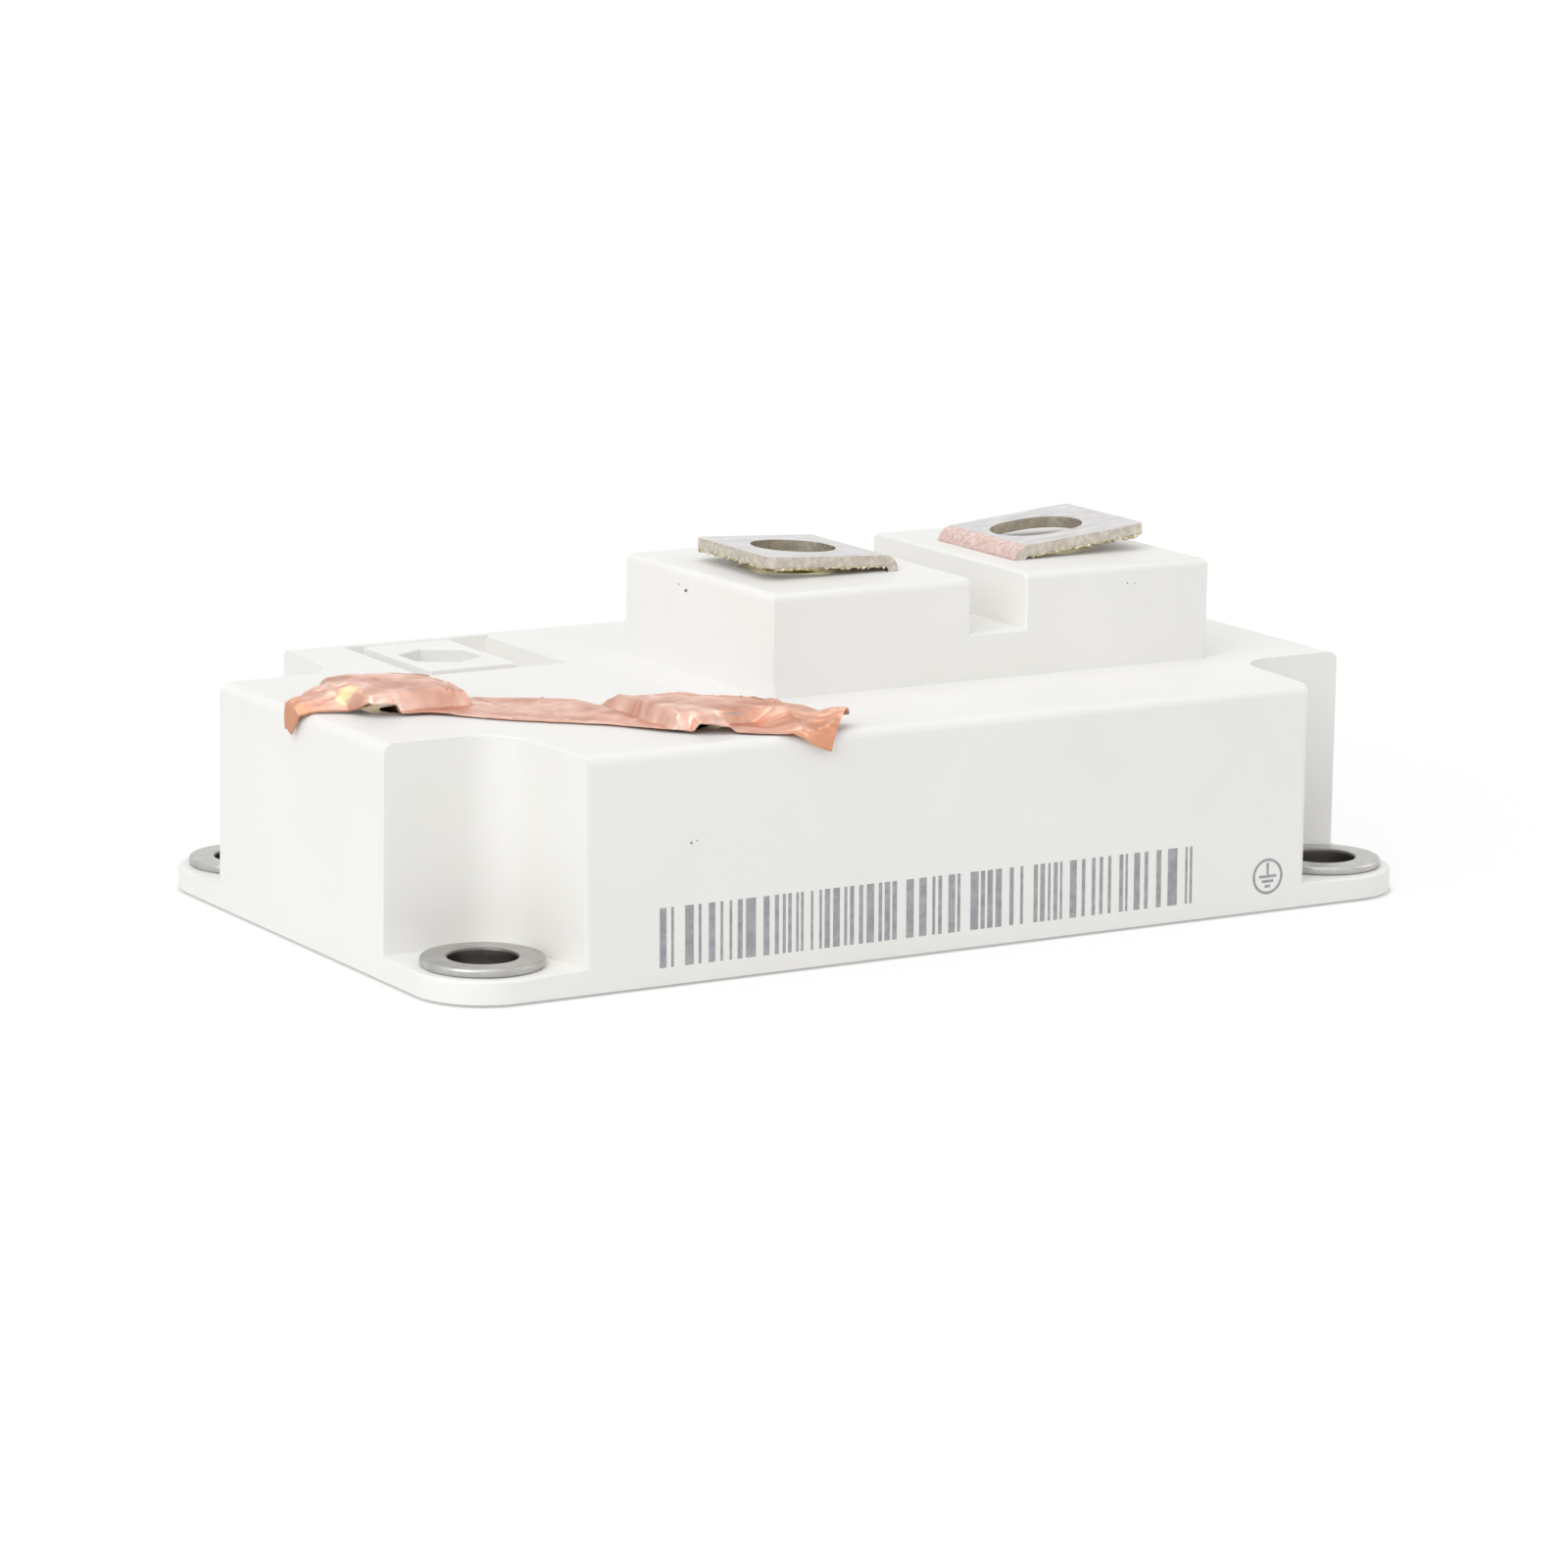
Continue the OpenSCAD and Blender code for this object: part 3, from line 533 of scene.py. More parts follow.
# %% Four bushes
def bush_tree():
    """Collared bush on each corner of a rectangle of screw holes."""
    tree, size = new_tree("collared_bush", bore=3.2 * MM, body=4.7 * MM, collar=5.7 * MM, seat=2.45 * MM,
                          top=3.25 * MM, edge=0.25 * MM, pitch_x=93 * MM, pitch_y=48 * MM, sides=96)
    line = add_node(tree, "GeometryNodeMeshLine", {"Count": 6})
    corner = add_node(tree, "GeometryNodeIndexSwitch", {"Index": add_node(tree, "GeometryNodeInputIndex")},
                      data_type="VECTOR")
    outline = (("bore", None), ("body", None), ("body", "seat"),
               ("collar", "seat"), ("collar", "top"), ("bore", "top"))
    for number, (radius, height) in enumerate(outline):
        if number > 1:
            corner.index_switch_items.new()
        out = add_node(tree, MATH, [size[radius], size["bore"]], operation="SUBTRACT")
        up = size[height] if height else 0.1 * MM
        point = add_node(tree, COMBINE, {"X": out, "Y": up})
        tree.links.new(point.outputs[0], corner.inputs[str(number)])
    placed = add_node(tree, "GeometryNodeSetPosition", {"Geometry": line, "Position": corner})
    drawn = add_node(tree, "GeometryNodeMeshToCurve", {"Mesh": placed})
    closed = add_node(tree, "GeometryNodeSetSplineCyclic", {"Geometry": drawn, "Cyclic": True})
    rounded = add_node(tree, "GeometryNodeFilletCurve",
                       {"Curve": closed, "Count": 4, "Radius": size["edge"], "Limit Radius": True}, mode="POLY")
    circle = add_node(tree, CIRCLE, {"Resolution": size["sides"], "Radius": size["bore"]})
    bush = add_node(tree, "GeometryNodeCurveToMesh", {"Curve": circle, "Profile Curve": rounded})
    upright = add_node(tree, "GeometryNodeTransform", {"Geometry": bush, "Scale": (1, 1, -1)})
    grid = add_node(tree, "GeometryNodeMeshGrid", {"Size X": size["pitch_x"], "Size Y": size["pitch_y"],
                                                   "Vertices X": 2, "Vertices Y": 2})
    four = add_node(tree, "GeometryNodeInstanceOnPoints", {"Points": grid, "Instance": upright})
    end_tree(tree, four, size["finish"])
    return tree


bushes = grow("screw_bushes", bush_tree(), turned_steel(), smooth_below=40)
levels = [round(v.co.z / MM, 2) for v in bushes.data.vertices]
print("bushes reach from", min(levels), "to", max(levels), "mm")
dress(bushes, None, "bush_steel", "bush_front_left", "bush_front_right", "bush_rear_left", "bush_rear_right")

# %% [markdown]
# ## Terminal nuts and their thread
#
# Under each main tab lies a captive M6 nut. Its thread is what the eye looks for in the hole,
# and a bump map can't give it, because the light falls straight down the bore. A thread is a
# profile that follows a helix, so a spiral curve carries a small triangle down the bore.

# %% Nut finish
# Yellow-passivated zinc on steel: a greenish gold that drifts in patches.
yellow_zinc = patchy_finish("yellow_passivated_zinc",
                            [(0.3, "#8f855c"), (0.55, "#b3a878"), (0.75, "#cfc59c")], 2.2, (0.28, 0.5), 1.0,
                            detail=5)

# %% Two threaded nuts
NUT_PITCH = 28.0
THREAD_MARGIN = 0.4


def nut_tree():
    """Hexagon nut with a helical thread in its bore. The thread stands in from the bore wall."""
    tree, size = new_tree("threaded_nut", across_flats=10 * MM, height=5 * MM, bore=3.0 * MM, thread=0.46 * MM,
                          pitch=1.0 * MM, sides=64)
    corner = add_node(tree, MATH, [size["across_flats"], 2 * math.cos(math.pi / 6)], operation="DIVIDE")
    hexagon = add_node(tree, CIRCLE, {"Resolution": 6, "Radius": corner})
    hole = add_node(tree, CIRCLE, {"Resolution": size["sides"], "Radius": size["bore"]})
    turned = add_node(tree, "GeometryNodeTransform", {"Geometry": hexagon,
                                                      "Rotation": (0, 0, math.pi / 6)})
    softened = add_node(tree, "GeometryNodeFilletCurve", {"Curve": turned, "Count": 3, "Radius": 0.2 * MM},
                        mode="POLY")
    both, body, nut = (add_node(tree, "GeometryNodeJoinGeometry") for _ in range(3))
    plate = add_node(tree, "GeometryNodeFillCurve", {"Curve": both}, mode="TRIANGLES")
    raised = add_node(tree, "GeometryNodeExtrudeMesh", {"Mesh": plate, "Offset Scale": size["height"],
                                                        "Individual": False})
    under = add_node(tree, "GeometryNodeFlipFaces", {"Mesh": plate})
    margins = add_node(tree, MATH, [size["pitch"], 2 * THREAD_MARGIN], operation="MULTIPLY")
    inner = add_node(tree, MATH, [size["height"], margins], operation="SUBTRACT")
    spiral = add_node(tree, "GeometryNodeCurveSpiral", {"Resolution": 40,
                      "Rotations": add_node(tree, MATH, [inner, size["pitch"]], operation="DIVIDE"),
                      "Start Radius": size["bore"], "End Radius": size["bore"], "Height": inner})
    lifted = add_node(tree, "GeometryNodeTransform", {"Geometry": spiral,
                                                      "Translation": (0, 0, THREAD_MARGIN * MM)})
    triangle = add_node(tree, CIRCLE, {"Resolution": 4, "Radius": size["thread"]})
    ridge = add_node(tree, "GeometryNodeCurveToMesh", {"Curve": lifted,
                                                       "Profile Curve": triangle, "Fill Caps": True})
    for part, joined in ((softened, both), (hole, both), (raised, body), (under, body),
                         (body, nut), (ridge, nut)):
        tree.links.new(part.outputs[0], joined.inputs[0])
    spots = add_node(tree, "GeometryNodeMeshLine", {"Count": 2, "Offset": (NUT_PITCH * MM, 0, 0)})
    pair = add_node(tree, "GeometryNodeInstanceOnPoints", {"Points": spots, "Instance": nut})
    end_tree(tree, pair, size["finish"])
    return tree


nuts = grow("terminal_nuts", nut_tree(), yellow_zinc, smooth_below=30)
nuts.data.transform(Matrix.Translation((0, 0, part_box("emitter_nut")[0].z)))
dress(nuts, None, "zinc_plated_steel", "emitter_nut", "collector_nut")

# %% [markdown]
# ## Main terminal tabs
#
# Each main terminal is a strap of tinned copper, punched from sheet and bent over the nut.
# The press leaves its marks: the upper edge is drawn in slightly, while the lower one carries
# a torn burr where bare metal shows gold and pink through the tin. Tops, torn edges and the
# stretched bend are told apart by an attribute on the mesh, so the finish follows the shape.

# %% Straps with torn edges
TAB_UNDERSIDE = 31.85
PLAN_CORNER = 0.8 * MM
STRAP_EDGE = 0.12 * MM
FREE_ENDS = (-6, 35)
BEND_X, BEND_Z, BEND_FADE = (20.9, 22.9), 29, 0.7


def corner_of_free_end(edge):
    """1 on the upright edges at the corners of a strap's free end."""
    middle = (edge.verts[0].co + edge.verts[1].co) / 2 / MM
    upright = abs(edge.verts[0].co.z - edge.verts[1].co.z) > 0.8 * edge.calc_length()
    return 1 if upright and abs(middle.y) > 6 and not FREE_ENDS[0] < middle.x < FREE_ENDS[1] else 0


def outer_edge(edge):
    """1 on all sharp outer edges."""
    return 1 if edge.is_convex and edge.calc_face_angle() > SHARP and edge.calc_length() > 0.05 * MM else 0


def split_level(piece, height):
    """Cuts the faces of a piece along a level, so that tab and leg can be told apart."""
    work = bmesh.new()
    work.from_mesh(piece.data)
    bmesh.ops.bisect_plane(work, geom=work.verts[:] + work.edges[:] + work.faces[:], dist=0.01 * MM,
                           plane_co=(0, 0, height * MM), plane_no=(0, 0, 1))
    work.to_mesh(piece.data)
    work.free()


def mark_faces(piece, name, share_of):
    """Stores a number on each corner of a face. share_of gets the face's middle in mm and its normal."""
    marks = piece.data.attributes.new(name, "FLOAT", "CORNER")
    for polygon in piece.data.polygons:
        share = share_of(polygon.center / MM, polygon.normal)
        for loop in polygon.loop_indices:
            marks.data[loop].value = share


def torn_edge(middle, normal):
    """1 on the punched walls and the underside of a tab, 0 on its top."""
    return 1.0 if middle.z > TAB_UNDERSIDE and normal.z < 0.35 else 0.0


def stretched_bend(middle, normal):
    """1 where the collector strap turns down, 0 elsewhere."""
    if middle.z > BEND_Z and BEND_X[0] < middle.x < BEND_X[1]:
        return min(1.0, (BEND_X[1] - middle.x) / BEND_FADE)
    return 0.0


def tinned_strap():
    """Tinned copper: dull silver with soft streaks on top, gold and pink where it was torn or bent."""
    material, tree, place = new_material("tinned_copper_strap")
    along = add_node(tree, "ShaderNodeMapping", {"Vector": place, "Scale": (0.35, 1, 1)})
    streak = add_node(tree, NOISE, {"Vector": along, "Scale": per_metre(0.9), "Detail": 5})
    torn = add_node(tree, NOISE, {"Vector": place, "Scale": per_metre(0.45), "Detail": 1})
    tin = add_node(tree, RAMP, [streak], stops=[(0.3, "#c7c5c5"), (0.55, "#d8d6d5"), (0.75, "#e4e2e0")])
    raw = add_node(tree, RAMP, [torn], stops=[(0.3, "#bdb5a8"), (0.5, "#c8c1b4"), (0.7, "#d5cfc3")])
    pink = add_node(tree, RAMP, [torn], stops=[(0.3, "#d6b5aa"), (0.7, "#e8d6cf")])
    colour = tin
    for name, other in (("torn", raw), ("bent", pink)):
        share = add_node(tree, "ShaderNodeAttribute", attribute_name=name).outputs["Fac"]
        colour = add_node(tree, "ShaderNodeMix", {"Factor": share, "A": colour, "B": other},
                          data_type="RGBA").outputs["Result"]
    gloss = add_node(tree, MAP_RANGE, {"Value": streak, "To Min": 0.3, "To Max": 0.46})
    bump = add_node(tree, "ShaderNodeBump", {"Height": torn, "Strength": 0.06, "Distance": 0.02 * MM})
    surface = {"Base Color": colour, "Roughness": gloss, "Normal": bump, "Metallic": 1}
    add_node(tree, OUTPUT, [add_node(tree, PRINCIPLED, surface)])
    return material


strap_finish = tinned_strap()
for strap_node in ("emitter_terminal", "collector_terminal"):
    strap = merged_copy(strap_node, strap_node + "_strap", weld=0.02 * MM)
    split_level(strap, TAB_UNDERSIDE)
    soften_edges(strap, PLAN_CORNER, corner_of_free_end, segments=5)
    soften_edges(strap, STRAP_EDGE, outer_edge, segments=2)
    mark_faces(strap, "torn", torn_edge)
    mark_faces(strap, "bent", stretched_bend)
    dress(strap, strap_finish, "tinned_copper", strap_node)

# %% [markdown]
# ### The burr under the tabs
#
# The burr is a ragged fringe that hangs from the lower edge. It follows a straight path, and
# only its thickness changes from place to place, so a tree resamples a line, gives each point
# a random radius and sweeps a small triangle along it.

# %% Burrs
# Start and end of each lower edge, in mm, with a seed for its raggedness.
BURR_EDGES = (((-6.2, -6.98, 32.95), (6.0, -6.98, 32.33), 3), ((-6.84, 6.2, 32.98), (-6.84, -6.3, 32.98), 5),
              ((22.7, -6.98, 32.13), (35.5, -6.98, 33.33), 8), ((36.2, -6.3, 33.4), (36.2, 6.2, 33.4), 13))
BURR_SAG = 0.7


def burr_tree():
    """Ragged thin fringe along a straight edge."""
    tree, size = new_tree("punching_burr", start=(0.0, 0.0, 0.0), end=(10 * MM, 0.0, 0.0), step=0.22 * MM,
                          thinnest=0.03 * MM, thickest=0.2 * MM, seed=1)
    line = add_node(tree, "GeometryNodeCurvePrimitiveLine", {"Start": size["start"], "End": size["end"]})
    beads = add_node(tree, "GeometryNodeResampleCurve", {"Curve": line, "Length": size["step"]}, mode="LENGTH")
    drop = add_node(tree, "FunctionNodeRandomValue", {"Min": size["thinnest"], "Max": size["thickest"],
                                                      "Seed": size["seed"]}, data_type="FLOAT")
    depth = add_node(tree, MATH, [drop.outputs["Value"], -BURR_SAG], operation="MULTIPLY")
    sag = add_node(tree, COMBINE, {"Z": depth})
    hung = add_node(tree, "GeometryNodeSetPosition", {"Geometry": beads, "Offset": sag})
    ragged = add_node(tree, "GeometryNodeSetCurveRadius", {"Curve": hung, "Radius": drop.outputs["Value"]})
    profile = add_node(tree, CIRCLE, {"Resolution": 5, "Radius": 1.0})
    fringe = add_node(tree, "GeometryNodeCurveToMesh",
                      {"Curve": ragged, "Profile Curve": profile, "Fill Caps": True,
                       "Scale": add_node(tree, "GeometryNodeInputRadius")})
    end_tree(tree, fringe, size["finish"])
    return tree


# Torn copper edge with tin smeared over it: pale gold points between dark gaps.
torn_burr = patchy_finish("torn_copper_burr", [(0.3, "#7d715a"), (0.5, "#c2b593"), (0.66, "#eee6cf")],
                          0.5, 0.42, 1.0, detail=3)
fringe_tree = burr_tree()
for number, (start, end, seed) in enumerate(BURR_EDGES):
    burr = grow(f"tab_burr_{number}", fringe_tree, torn_burr, start=[c * MM for c in start],
                end=[c * MM for c in end], seed=seed)
    dress(burr, None, "tinned_copper")

# %% [markdown]
# ## Copper foil
#
# The gate of such a module must not float before it is wired in, so a strip of soft copper
# foil is pressed over both control terminals. It shows every finger that touched it: long
# creases that follow the strip, short ones across it, and two folds where it climbs onto the
# terminals. The solid gives the course of the strip; here it is divided finely, and one height
# pattern lifts both of its faces alike, so the foil keeps its thickness. Cloth simulation
# would give round, soft waves, while foil breaks into flat facets between sharp ridges, which
# ridged noise gives at once.

# %% Foil shape
STRIP_DIRECTION = Vector((0.753, -0.658))
# Two points on each fold line in plan, and the height of its step, in mm.
FOLDS = (((-39.4, -1.2), (-41.4, -8.6), 0.2), ((-14.9, -22.6), (-16.2, -27.6), 0.2))
# Each terminal under the foil: the height of its top, its front edge (y), the left and right
# edges (x) beside which the foil is pressed down, and the stretch of x where its hem stands
# off and leaves a dark opening, all in mm.
PRESSED = ((23.75, -4.95, -90, -38.1, (-49.4, -45.4)), (23.35, -24.0, -26.55, 90, (-25.7, -22.2)))
HEM_Z = 22.0
# How far in x a terminal acts, what the foil keeps of its height on top of one and loses
# beside it, over which distances it goes down, opens and ends, and how much an opening frees.
PRESS_REACH, TOP_GIVE, HEM_HOLD = 10, 0.3, 0.85
HEM_EDGE, OPENING_EDGE, PRESS_END, OPENING_SHARE = (-0.15, 0.45), 0.6, (-19, -16), 0.7
# The slope behind the hem: where it rises and falls in x, how it fades across, its height.
SLOPE_RISE, SLOPE_FALL, SLOPE_FADE, SLOPE_HEIGHT = (-36, -29.5), (-29, -26.5), (29, 34), 0.5
CREASE_HEIGHT, WANDER = 0.42, 0.22
# Vector noise starts from the clock unless it gets a seed, and each run has to give one outline.
OUTLINE_SEED = 1795456196


def smooth_step(value, low, high):
    """0 below low, 1 above high, and a smooth rise between them."""
    share = max(0.0, min(1.0, (value - low) / (high - low)))
    return share * share * (3 - 2 * share)


def ridge(place):
    """Sharp-crested noise from 0 to 1."""
    return 1 - min(1.0, 2.4 * abs(noise.noise(place)))


def foil_pattern(point):
    """Crease height from 0 to 1 at a point in mm."""
    along = point.x * STRIP_DIRECTION.x + point.y * STRIP_DIRECTION.y
    across = point.x * STRIP_DIRECTION.y - point.y * STRIP_DIRECTION.x
    lengthwise = ridge(Vector((along * 0.05, across * 0.33, 3.1)))
    slanting = ridge(Vector((along * 0.28 + across * 0.12, across * 0.22, 7.7)))
    small = ridge(Vector((along * 0.62, across * 0.75, 1.3)))
    return 0.4 * lengthwise + 0.36 * slanting + 0.24 * small


def fold_step(point):
    """Height that the folds add at a point in mm: a sudden step, which then dies away."""
    total = 0.0
    for (ax, ay), (bx, by), height in FOLDS:
        line = Vector((bx - ax, by - ay)).normalized()
        side = (point.x - ax) * line.y - (point.y - ay) * line.x
        total += height * smooth_step(side, -0.15, 0.15) * (1 - smooth_step(side, 0.6, 5))
    return total


def press(point):
    """Height in mm that a point of the foil gets where it was pressed, and how firmly it was."""
    height, firm = point.z, 0.0
    for top, front, left, right, (opens, closes) in PRESSED:
        if not opens - PRESS_REACH < point.x < closes + PRESS_REACH:
            continue
        if height > top:
            height, firm = top + TOP_GIVE * (height - top), 0.5
        open_here = smooth_step(point.x, opens, opens + OPENING_EDGE)
        open_here *= 1 - smooth_step(point.x, closes - OPENING_EDGE, closes)
        outside = max(front - point.y, left - point.x, point.x - right)
        beside = smooth_step(outside, *HEM_EDGE) * (1 - OPENING_SHARE * open_here)
        beside *= 1 - smooth_step(point.x, *PRESS_END)
        if height > HEM_Z and beside > 0:
            height, firm = HEM_Z + (height - HEM_Z) * (1 - HEM_HOLD * beside), max(firm, beside)
    return height, firm


def slope_up(point):
    """Extra height in mm behind the hem, where the strip slopes up to the second terminal."""
    across = point.x * STRIP_DIRECTION.y - point.y * STRIP_DIRECTION.x
    run = smooth_step(point.x, *SLOPE_RISE) * (1 - smooth_step(point.x, *SLOPE_FALL))
    return SLOPE_HEIGHT * run * (1 - smooth_step(across, *SLOPE_FADE))


foil = merged_copy("shorting_foil", "crumpled_foil", flat=0)
work = bmesh.new()
work.from_mesh(foil.data)
bmesh.ops.join_triangles(work, faces=work.faces, angle_face_threshold=math.radians(60),
                         angle_shape_threshold=math.radians(80))
work.to_mesh(foil.data)
work.free()
divide = foil.modifiers.new("division", "SUBSURF")
divide.subdivision_type = "SIMPLE"
divide.levels = divide.render_levels = 3
apply_modifiers(foil)

FOIL_MARKS = ("crease", "hanging", "glint")
for name in FOIL_MARKS:
    foil.data.attributes.new(name, "FLOAT", "POINT")
creases, hanging, glint = (foil.data.attributes[name].data for name in FOIL_MARKS)
# Centre in mm of a painted highlight: a cream-yellow glint on the foil.
GLINT_X, GLINT_Y = -48.7, -1.6
noise.seed_set(OUTLINE_SEED)
for vertex in foil.data.vertices:
    point = vertex.co / MM
    height = foil_pattern(point)
    down = 1 - smooth_step(point.z, 20.6, 22.1)
    creases[vertex.index].value = height
    # Orange-brown share: where the foil hangs below the deck, at its left and front ends, and half of it
    # towards the right.
    hanging[vertex.index].value = max(down, smooth_step(-point.x, 51.2, 53), smooth_step(-point.y, 29, 31),
                                      0.5 * smooth_step(point.x, -25, -14))
    glint[vertex.index].value = 1 - smooth_step(math.hypot(point.x - GLINT_X, point.y - GLINT_Y), 0.7, 1.3)
    # The outline wanders a little, as foil torn by hand does.
    wander = noise.noise_vector(Vector((point.x * 0.45, point.y * 0.45, 5.0)))
    pressed, firm = press(point)
    rise = (CREASE_HEIGHT * height + fold_step(point)) * (1 - 0.8 * max(down, firm)) + slope_up(point)
    shift = Vector((WANDER * wander.x, WANDER * wander.y, pressed - point.z + rise))
    if down > 0:
        wall = Vector((1, 0, 0)) if point.x < -50 else Vector((0, 1, 0))
        shift = shift * (1 - down) + wall * 0.3 * height * down
    vertex.co = (point + shift) * MM
foil.data.update()

# %% [markdown]
# ### Finish of the foil
#
# Soft copper is a pale salmon pink, and here it turns orange-brown where it hangs down over the
# edges and towards its ends. The ridges of the creases carry a painted highlight and the hollows
# between them painted shade. Those shades ride on attributes of the mesh, as does one painted
# highlight, a cream-yellow glint, and fine rolling lines run along the strip.

# %% Annealed copper foil
def annealed_foil():
    """Rolled soft copper: a satin pink metal, browner at its ends, with painted highlights on its ridges and a
    painted glint, and painted shade in its hollows.
    """
    material, tree, place = new_material("annealed_copper_foil")
    turned = add_node(tree, "ShaderNodeMapping", {"Vector": place, "Rotation": (0, 0, math.radians(41)),
                                                  "Scale": (0.1, 1, 1)})
    rolled = add_node(tree, NOISE, {"Vector": turned, "Scale": per_metre(0.3), "Detail": 3})
    cloud = add_node(tree, NOISE, {"Vector": place, "Scale": per_metre(3.5), "Detail": 4})
    crease, ends, bright = (add_node(tree, "ShaderNodeAttribute", attribute_name=name).outputs["Fac"]
                            for name in FOIL_MARKS)
    clouded = add_node(tree, MATH, [cloud, 0.5], operation="MULTIPLY")
    # Painted highlight and shade: the crease height makes ridges lighter and hollows darker.
    creased = add_node(tree, MATH, [crease, 0.6], operation="MULTIPLY")
    mood = add_node(tree, MATH, [creased, clouded], operation="ADD")
    colour = add_node(tree, RAMP, [mood], stops=[(0.25, "#c08c76"), (0.5, "#d9aa97"), (0.7, "#e8c2b2"),
                                                 (0.85, "#f3d8cc")])
    end_tone = add_node(tree, MATH, [ends, 0.75], operation="MULTIPLY")
    # Orange-brown towards the ends, then the painted glint.
    for share, code in ((end_tone, "#d49672"), (bright, "#f4e4b2")):
        colour = add_node(tree, "ShaderNodeMix", {"Factor": share, "A": colour, "B": to_linear(code)},
                          data_type="RGBA").outputs["Result"]
    gloss = add_node(tree, MAP_RANGE, {"Value": cloud, "To Min": 0.3, "To Max": 0.5})
    bump = add_node(tree, "ShaderNodeBump", {"Height": rolled, "Strength": 0.25,
                                             "Distance": 0.02 * MM})
    surface = {"Base Color": colour, "Roughness": gloss, "Normal": bump, "Metallic": 1}
    add_node(tree, OUTPUT, [add_node(tree, PRINCIPLED, surface)])
    return material


shade(foil, 50)
print("foil faces:", len(foil.data.polygons))
dress(foil, annealed_foil(), "copper_foil", "shorting_foil")

# %% [markdown]
# ## Print on the front
#
# The makers of such modules print a bar code and the sign for protective earth on the long
# side. The bars here are a generic field: their widths and gaps are random and stand for no
# number. A tree lays them out with a running sum of widths, and leans them on the wall,
# which has a draft angle above the flange.

# %% Ink and the wall it lies on
FRONT_Y = -30.7
FRONT_LEAN = 0.4 / 18.45
INK_PROUD = 0.02


def front_y(z):
    """Y of the front wall at a height, both in mm."""
    return FRONT_Y + FRONT_LEAN * max(0.0, z - FLANGE_Z)


# Pad-printed ink: matte violet grey, slightly patchy where the pad was dry.
ink = patchy_finish("pad_printed_grey_ink", [(0.35, "#9c9a9f"), (0.65, "#b0aeb3")], 0.8, 0.6)

# %% Printed bars
def bar_tree():
    """Row of upright bars with random widths and gaps, on a wall that leans back above a foot."""
    tree, size = new_tree("printed_bars", count=56, thinnest=0.25, thickest=1.15, gap=0.25, widest_gap=1.2,
                          length=58.6 * MM, height=5.5 * MM, bottom=1.9 * MM, left=-32.0 * MM,
                          wall=FRONT_Y * MM, lean=FRONT_LEAN, foot=FLANGE_Z * MM, proud=INK_PROUD * MM, seed=4)
    spots = add_node(tree, "GeometryNodeMeshLine", {"Count": size["count"]})
    # Squared chance makes thin bars and narrow gaps the common ones, as in a real code.
    bar_and_gap = []
    for offset, (least, most) in enumerate((("thinnest", "thickest"), ("gap", "widest_gap"))):
        seed = add_node(tree, MATH, [size["seed"], offset], operation="ADD")
        chance = add_node(tree, "FunctionNodeRandomValue", {"Seed": seed}, data_type="FLOAT").outputs["Value"]
        rare = add_node(tree, MATH, [chance, 2.0], operation="POWER")
        bar_and_gap.append(add_node(tree, MAP_RANGE, {"Value": rare, "To Min": size[least],
                                                                 "To Max": size[most]}))
    step = add_node(tree, MATH, bar_and_gap, operation="ADD")
    run = add_node(tree, "GeometryNodeAccumulateField", {"Value": step}, data_type="FLOAT").outputs
    fit = add_node(tree, MATH, [size["length"], run["Total"]], operation="DIVIDE")
    start = add_node(tree, MATH, [run["Trailing"], fit, size["left"]], operation="MULTIPLY_ADD")
    width = add_node(tree, MATH, [bar_and_gap[0], fit], operation="MULTIPLY")
    middle = add_node(tree, MATH, [width, 0.5, start], operation="MULTIPLY_ADD")
    half_height = add_node(tree, MATH, [size["height"], 0.5], operation="MULTIPLY")
    level = add_node(tree, MATH, [size["bottom"], half_height], operation="ADD")
    spot = add_node(tree, COMBINE, {"X": middle, "Y": size["wall"],
                                                   "Z": level})
    placed = add_node(tree, "GeometryNodeSetPosition", {"Geometry": spots, "Position": spot})
    depth = add_node(tree, MATH, [size["proud"], 2.0], operation="MULTIPLY")
    box_size = add_node(tree, COMBINE, {"X": 1.0, "Y": depth, "Z": size["height"]})
    box = add_node(tree, "GeometryNodeMeshCube", {"Size": box_size, "Vertices X": 2, "Vertices Y": 2,
                                                  "Vertices Z": 11})
    wide = add_node(tree, COMBINE, {"X": width, "Y": 1.0, "Z": 1.0})
    bars = add_node(tree, "GeometryNodeInstanceOnPoints", {"Points": placed, "Instance": box,
                                                           "Scale": wide})
    real = add_node(tree, "GeometryNodeRealizeInstances", {"Geometry": bars})
    height = add_node(tree, "ShaderNodeSeparateXYZ", {"Vector": add_node(tree, "GeometryNodeInputPosition")})
    from_foot = add_node(tree, MATH, [height.outputs["Z"], size["foot"]], operation="SUBTRACT")
    above = add_node(tree, MATH, [from_foot, 0.0], operation="MAXIMUM")
    leaning = add_node(tree, MATH, [above, size["lean"]], operation="MULTIPLY")
    back = add_node(tree, COMBINE, {"Y": leaning})
    leaned = add_node(tree, "GeometryNodeSetPosition", {"Geometry": real, "Offset": back})
    end_tree(tree, leaned, size["finish"])
    return tree


bars = grow("printed_bars", bar_tree(), ink)
print("bars end at x", round(max(v.co.x for v in bars.data.vertices) / MM, 2), "mm")
dress(bars, None, "white_housing")

# %% [markdown]
# ### Earth sign and specks of dust
#
# The sign is a ring with a stem and three shrinking bars, cut from flat strips in mesh code,
# since nothing in it repeats. The specks are what a used workbench leaves on white plastic.

# %% Earth sign
SIGN_X, SIGN_Z, SIGN_R, SIGN_LINE = 35.2, 3.6, 1.75, 0.27


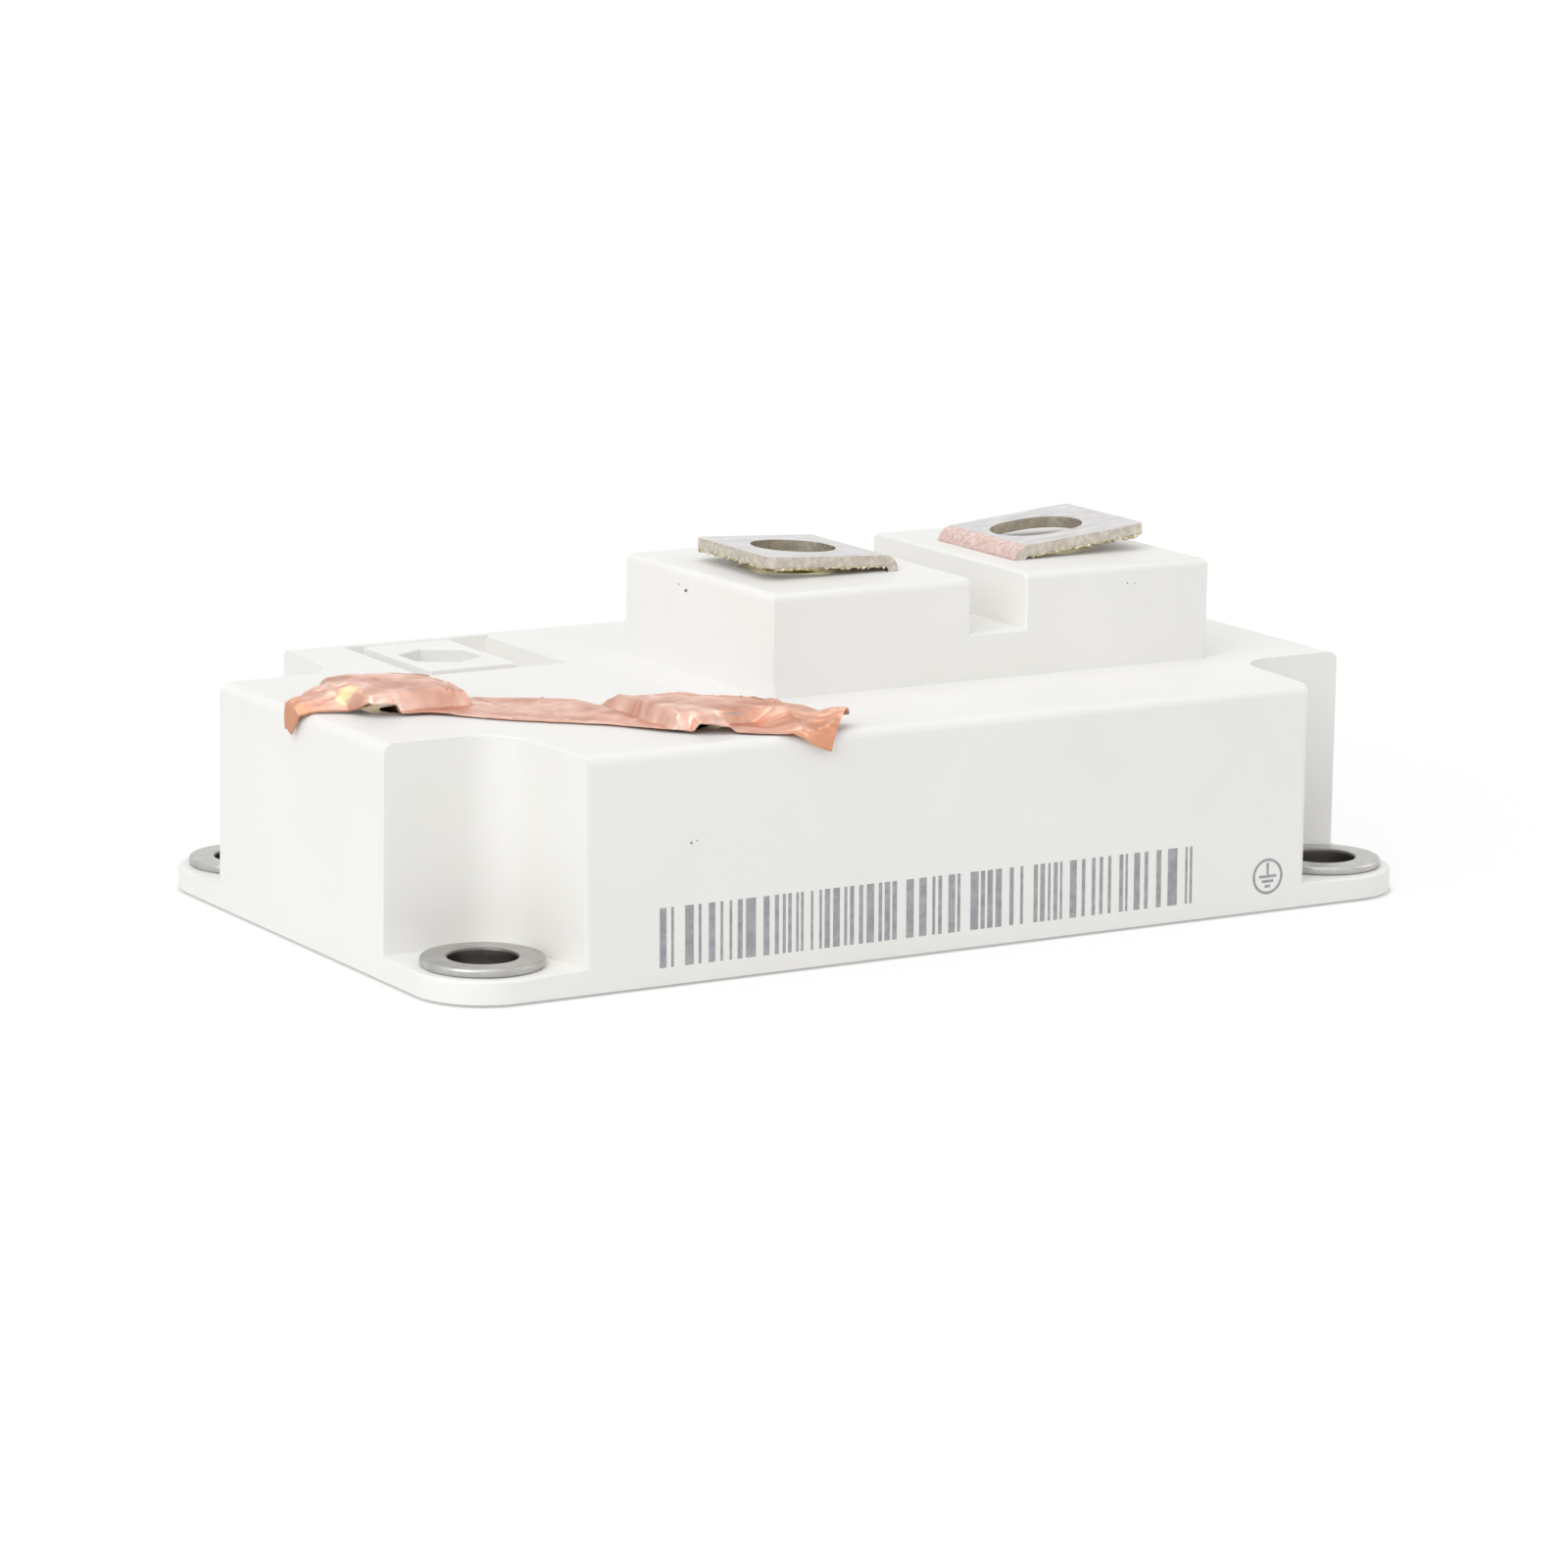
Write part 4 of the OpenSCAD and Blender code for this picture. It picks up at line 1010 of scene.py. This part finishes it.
def ink_face(work, corners):
    """One closed patch of ink from its corners (x, z) on the front wall, in mm."""
    near = [work.verts.new(Vector((x, front_y(z) - INK_PROUD, z)) * MM) for x, z in corners]
    far = [work.verts.new(Vector((x, front_y(z) + INK_PROUD, z)) * MM) for x, z in corners]
    work.faces.new(near)
    work.faces.new(far[::-1])
    for i in range(len(corners)):
        j = (i + 1) % len(corners)
        work.faces.new((near[j], near[i], far[i], far[j]))


def earth_sign():
    """Ring, stem and three bars."""
    piece = add_object("earth_sign", bpy.data.meshes.new("earth_sign"))
    work = bmesh.new()
    sides = 40
    for i in range(sides):
        a, b = (2 * math.pi * (i + k) / sides for k in (0, 1))
        ring = ((SIGN_R, a), (SIGN_R, b), (SIGN_R - SIGN_LINE, b), (SIGN_R - SIGN_LINE, a))
        ink_face(work, [(SIGN_X + r * math.cos(t), SIGN_Z + r * math.sin(t)) for r, t in ring])
    strips = ((-SIGN_LINE / 2, SIGN_LINE / 2, 0.65, 1.3), (-1.0, 1.0, 0.0, SIGN_LINE),
              (-0.66, 0.66, -0.48, SIGN_LINE), (-0.32, 0.32, -0.96, SIGN_LINE))
    for left, right, z, tall in strips:
        low, high = SIGN_Z + z - tall / 2, SIGN_Z + z + tall / 2
        ink_face(work, [(SIGN_X + x, z) for x, z in ((left, low), (right, low), (right, high), (left, high))])
    bmesh.ops.recalc_face_normals(work, faces=work.faces)
    work.to_mesh(piece.data)
    work.free()
    return piece


dress(earth_sign(), ink, "white_housing")

# %% Specks of dust
# Place in mm and radius of each speck.
SPECKS = ((-10.6, 2.2, 29.8, 0.17), (-10.55, 3.6, 30.2, 0.07), (29.5, -13.97, 30.0, 0.08),
          (30.4, -13.97, 29.9, 0.06), (-28.7, -30.47, 13.1, 0.13), (-28.1, -30.47, 13.25, 0.08))


# Workshop dust: grey-brown, matte and slightly uneven.
dust = patchy_finish("workshop_dust", [(0.3, "#6f6a63"), (0.7, "#8f8a84")], 0.1, 0.9, detail=2)
work = bmesh.new()
picker = random.Random(7)
for x, y, z, radius in SPECKS:
    crumb = bmesh.ops.create_icosphere(work, subdivisions=2, radius=radius * MM)["verts"]
    for vertex in crumb:
        vertex.co = vertex.co * picker.uniform(0.75, 1.0) + Vector((x, y, z)) * MM
specks = add_object("dust_specks", bpy.data.meshes.new("dust_specks"))
work.to_mesh(specks.data)
work.free()
dress(specks, dust, "white_housing")
print("specks:", len(SPECKS))

# %% [markdown]
# ## Finishes of the parts that keep their engineering shape
#
# The base plate, the chips and everything under the gel already have the right shape, so
# only their finish changes.

# %% Finishes for the inner parts
# How the names of the parts end, and the finish they get.
FINISHES = (
    # Nickel on rolled copper: warm silver with long faint rolling lines.
    ("base_plate", patchy_finish("nickel_plated_rolled_copper", [(0.3, "#bdb8ae"), (0.7, "#cfcbc3")],
                                 1.2, (0.24, 0.4), 1.0, (0.05, 1, 1), 0.01)),
    # Cured silicone: milky, soft gloss, squeezed out unevenly.
    ("seal_bead", patchy_finish("cured_white_silicone", [(0.3, "#dcdad4"), (0.7, "#e9e8e3")],
                                1.5, (0.3, 0.45), relief_mm=0.05)),
    # Bright tin on the thin control straps: pale silver.
    (("gate_terminal", "sense_terminal"),
     patchy_finish("tin_plated_control_strap", [(0.3, "#b4b3b1"), (0.7, "#d6d5d2")], 0.7, (0.22, 0.38), 1.0)),
    # Turned brass: yellow, fairly bright.
    (("gate_nut", "sense_nut", "_lead"),
     patchy_finish("turned_brass", [(0.3, "#b99a55"), (0.7, "#d8bf7e")], 1.5, (0.22, 0.36), 1.0)),
    # Reflowed solder: dull grey with large soft grains.
    ("_solder", patchy_finish("reflowed_tin_solder", [(0.3, "#8f9091"), (0.7, "#b1b2b2")],
                              0.8, (0.34, 0.52), 1.0, relief_mm=0.02)),
    # Copper bonded to ceramic: coarse crystals, each a slightly other pink.
    (("_copper", "_pad"),
     patchy_finish("bonded_copper", [(0.35, "#b87a5f"), (0.5, "#cf9078"), (0.65, "#dba58f")],
                   0.9, (0.28, 0.44), 1.0)),
    # Sintered alumina: chalky white, quite matte.
    ("_ceramic", patchy_finish("sintered_alumina", [(0.3, "#e4e2db"), (0.7, "#efeee9")], 2.0, (0.62, 0.75))),
    # Chip tops under their metal layer: grey with a hint of violet.
    (("_switches", "_diodes"),
     patchy_finish("metallised_silicon", [(0.3, "#77767d"), (0.7, "#96959c")], 1.1, (0.2, 0.32), 0.8)),
    # Drawn aluminium wire: white metal, softly mottled.
    ("_wires", patchy_finish("drawn_aluminium_wire", [(0.3, "#bfc0c2"), (0.7, "#dcdddf")],
                             0.5, (0.25, 0.4), 1.0)),
    # Silicone gel: clear as water, very slightly yellow.
    ("silicone_gel", patchy_finish("clear_silicone_gel", [(0.3, "#f2f1ea"), (0.7, "#f8f7f2")],
                                   6.0, (0.04, 0.09), clear=0.9)),
)
dressed = 0
for name, node in frame["nodes"].items():
    finish = next((material for ending, material in FINISHES if name.endswith(ending)), None)
    if finish:
        for slot in node.material_slots:
            slot.material = finish
        dressed += 1
print("engineering parts with a new finish:", dressed, "of", len(frame["nodes"]))
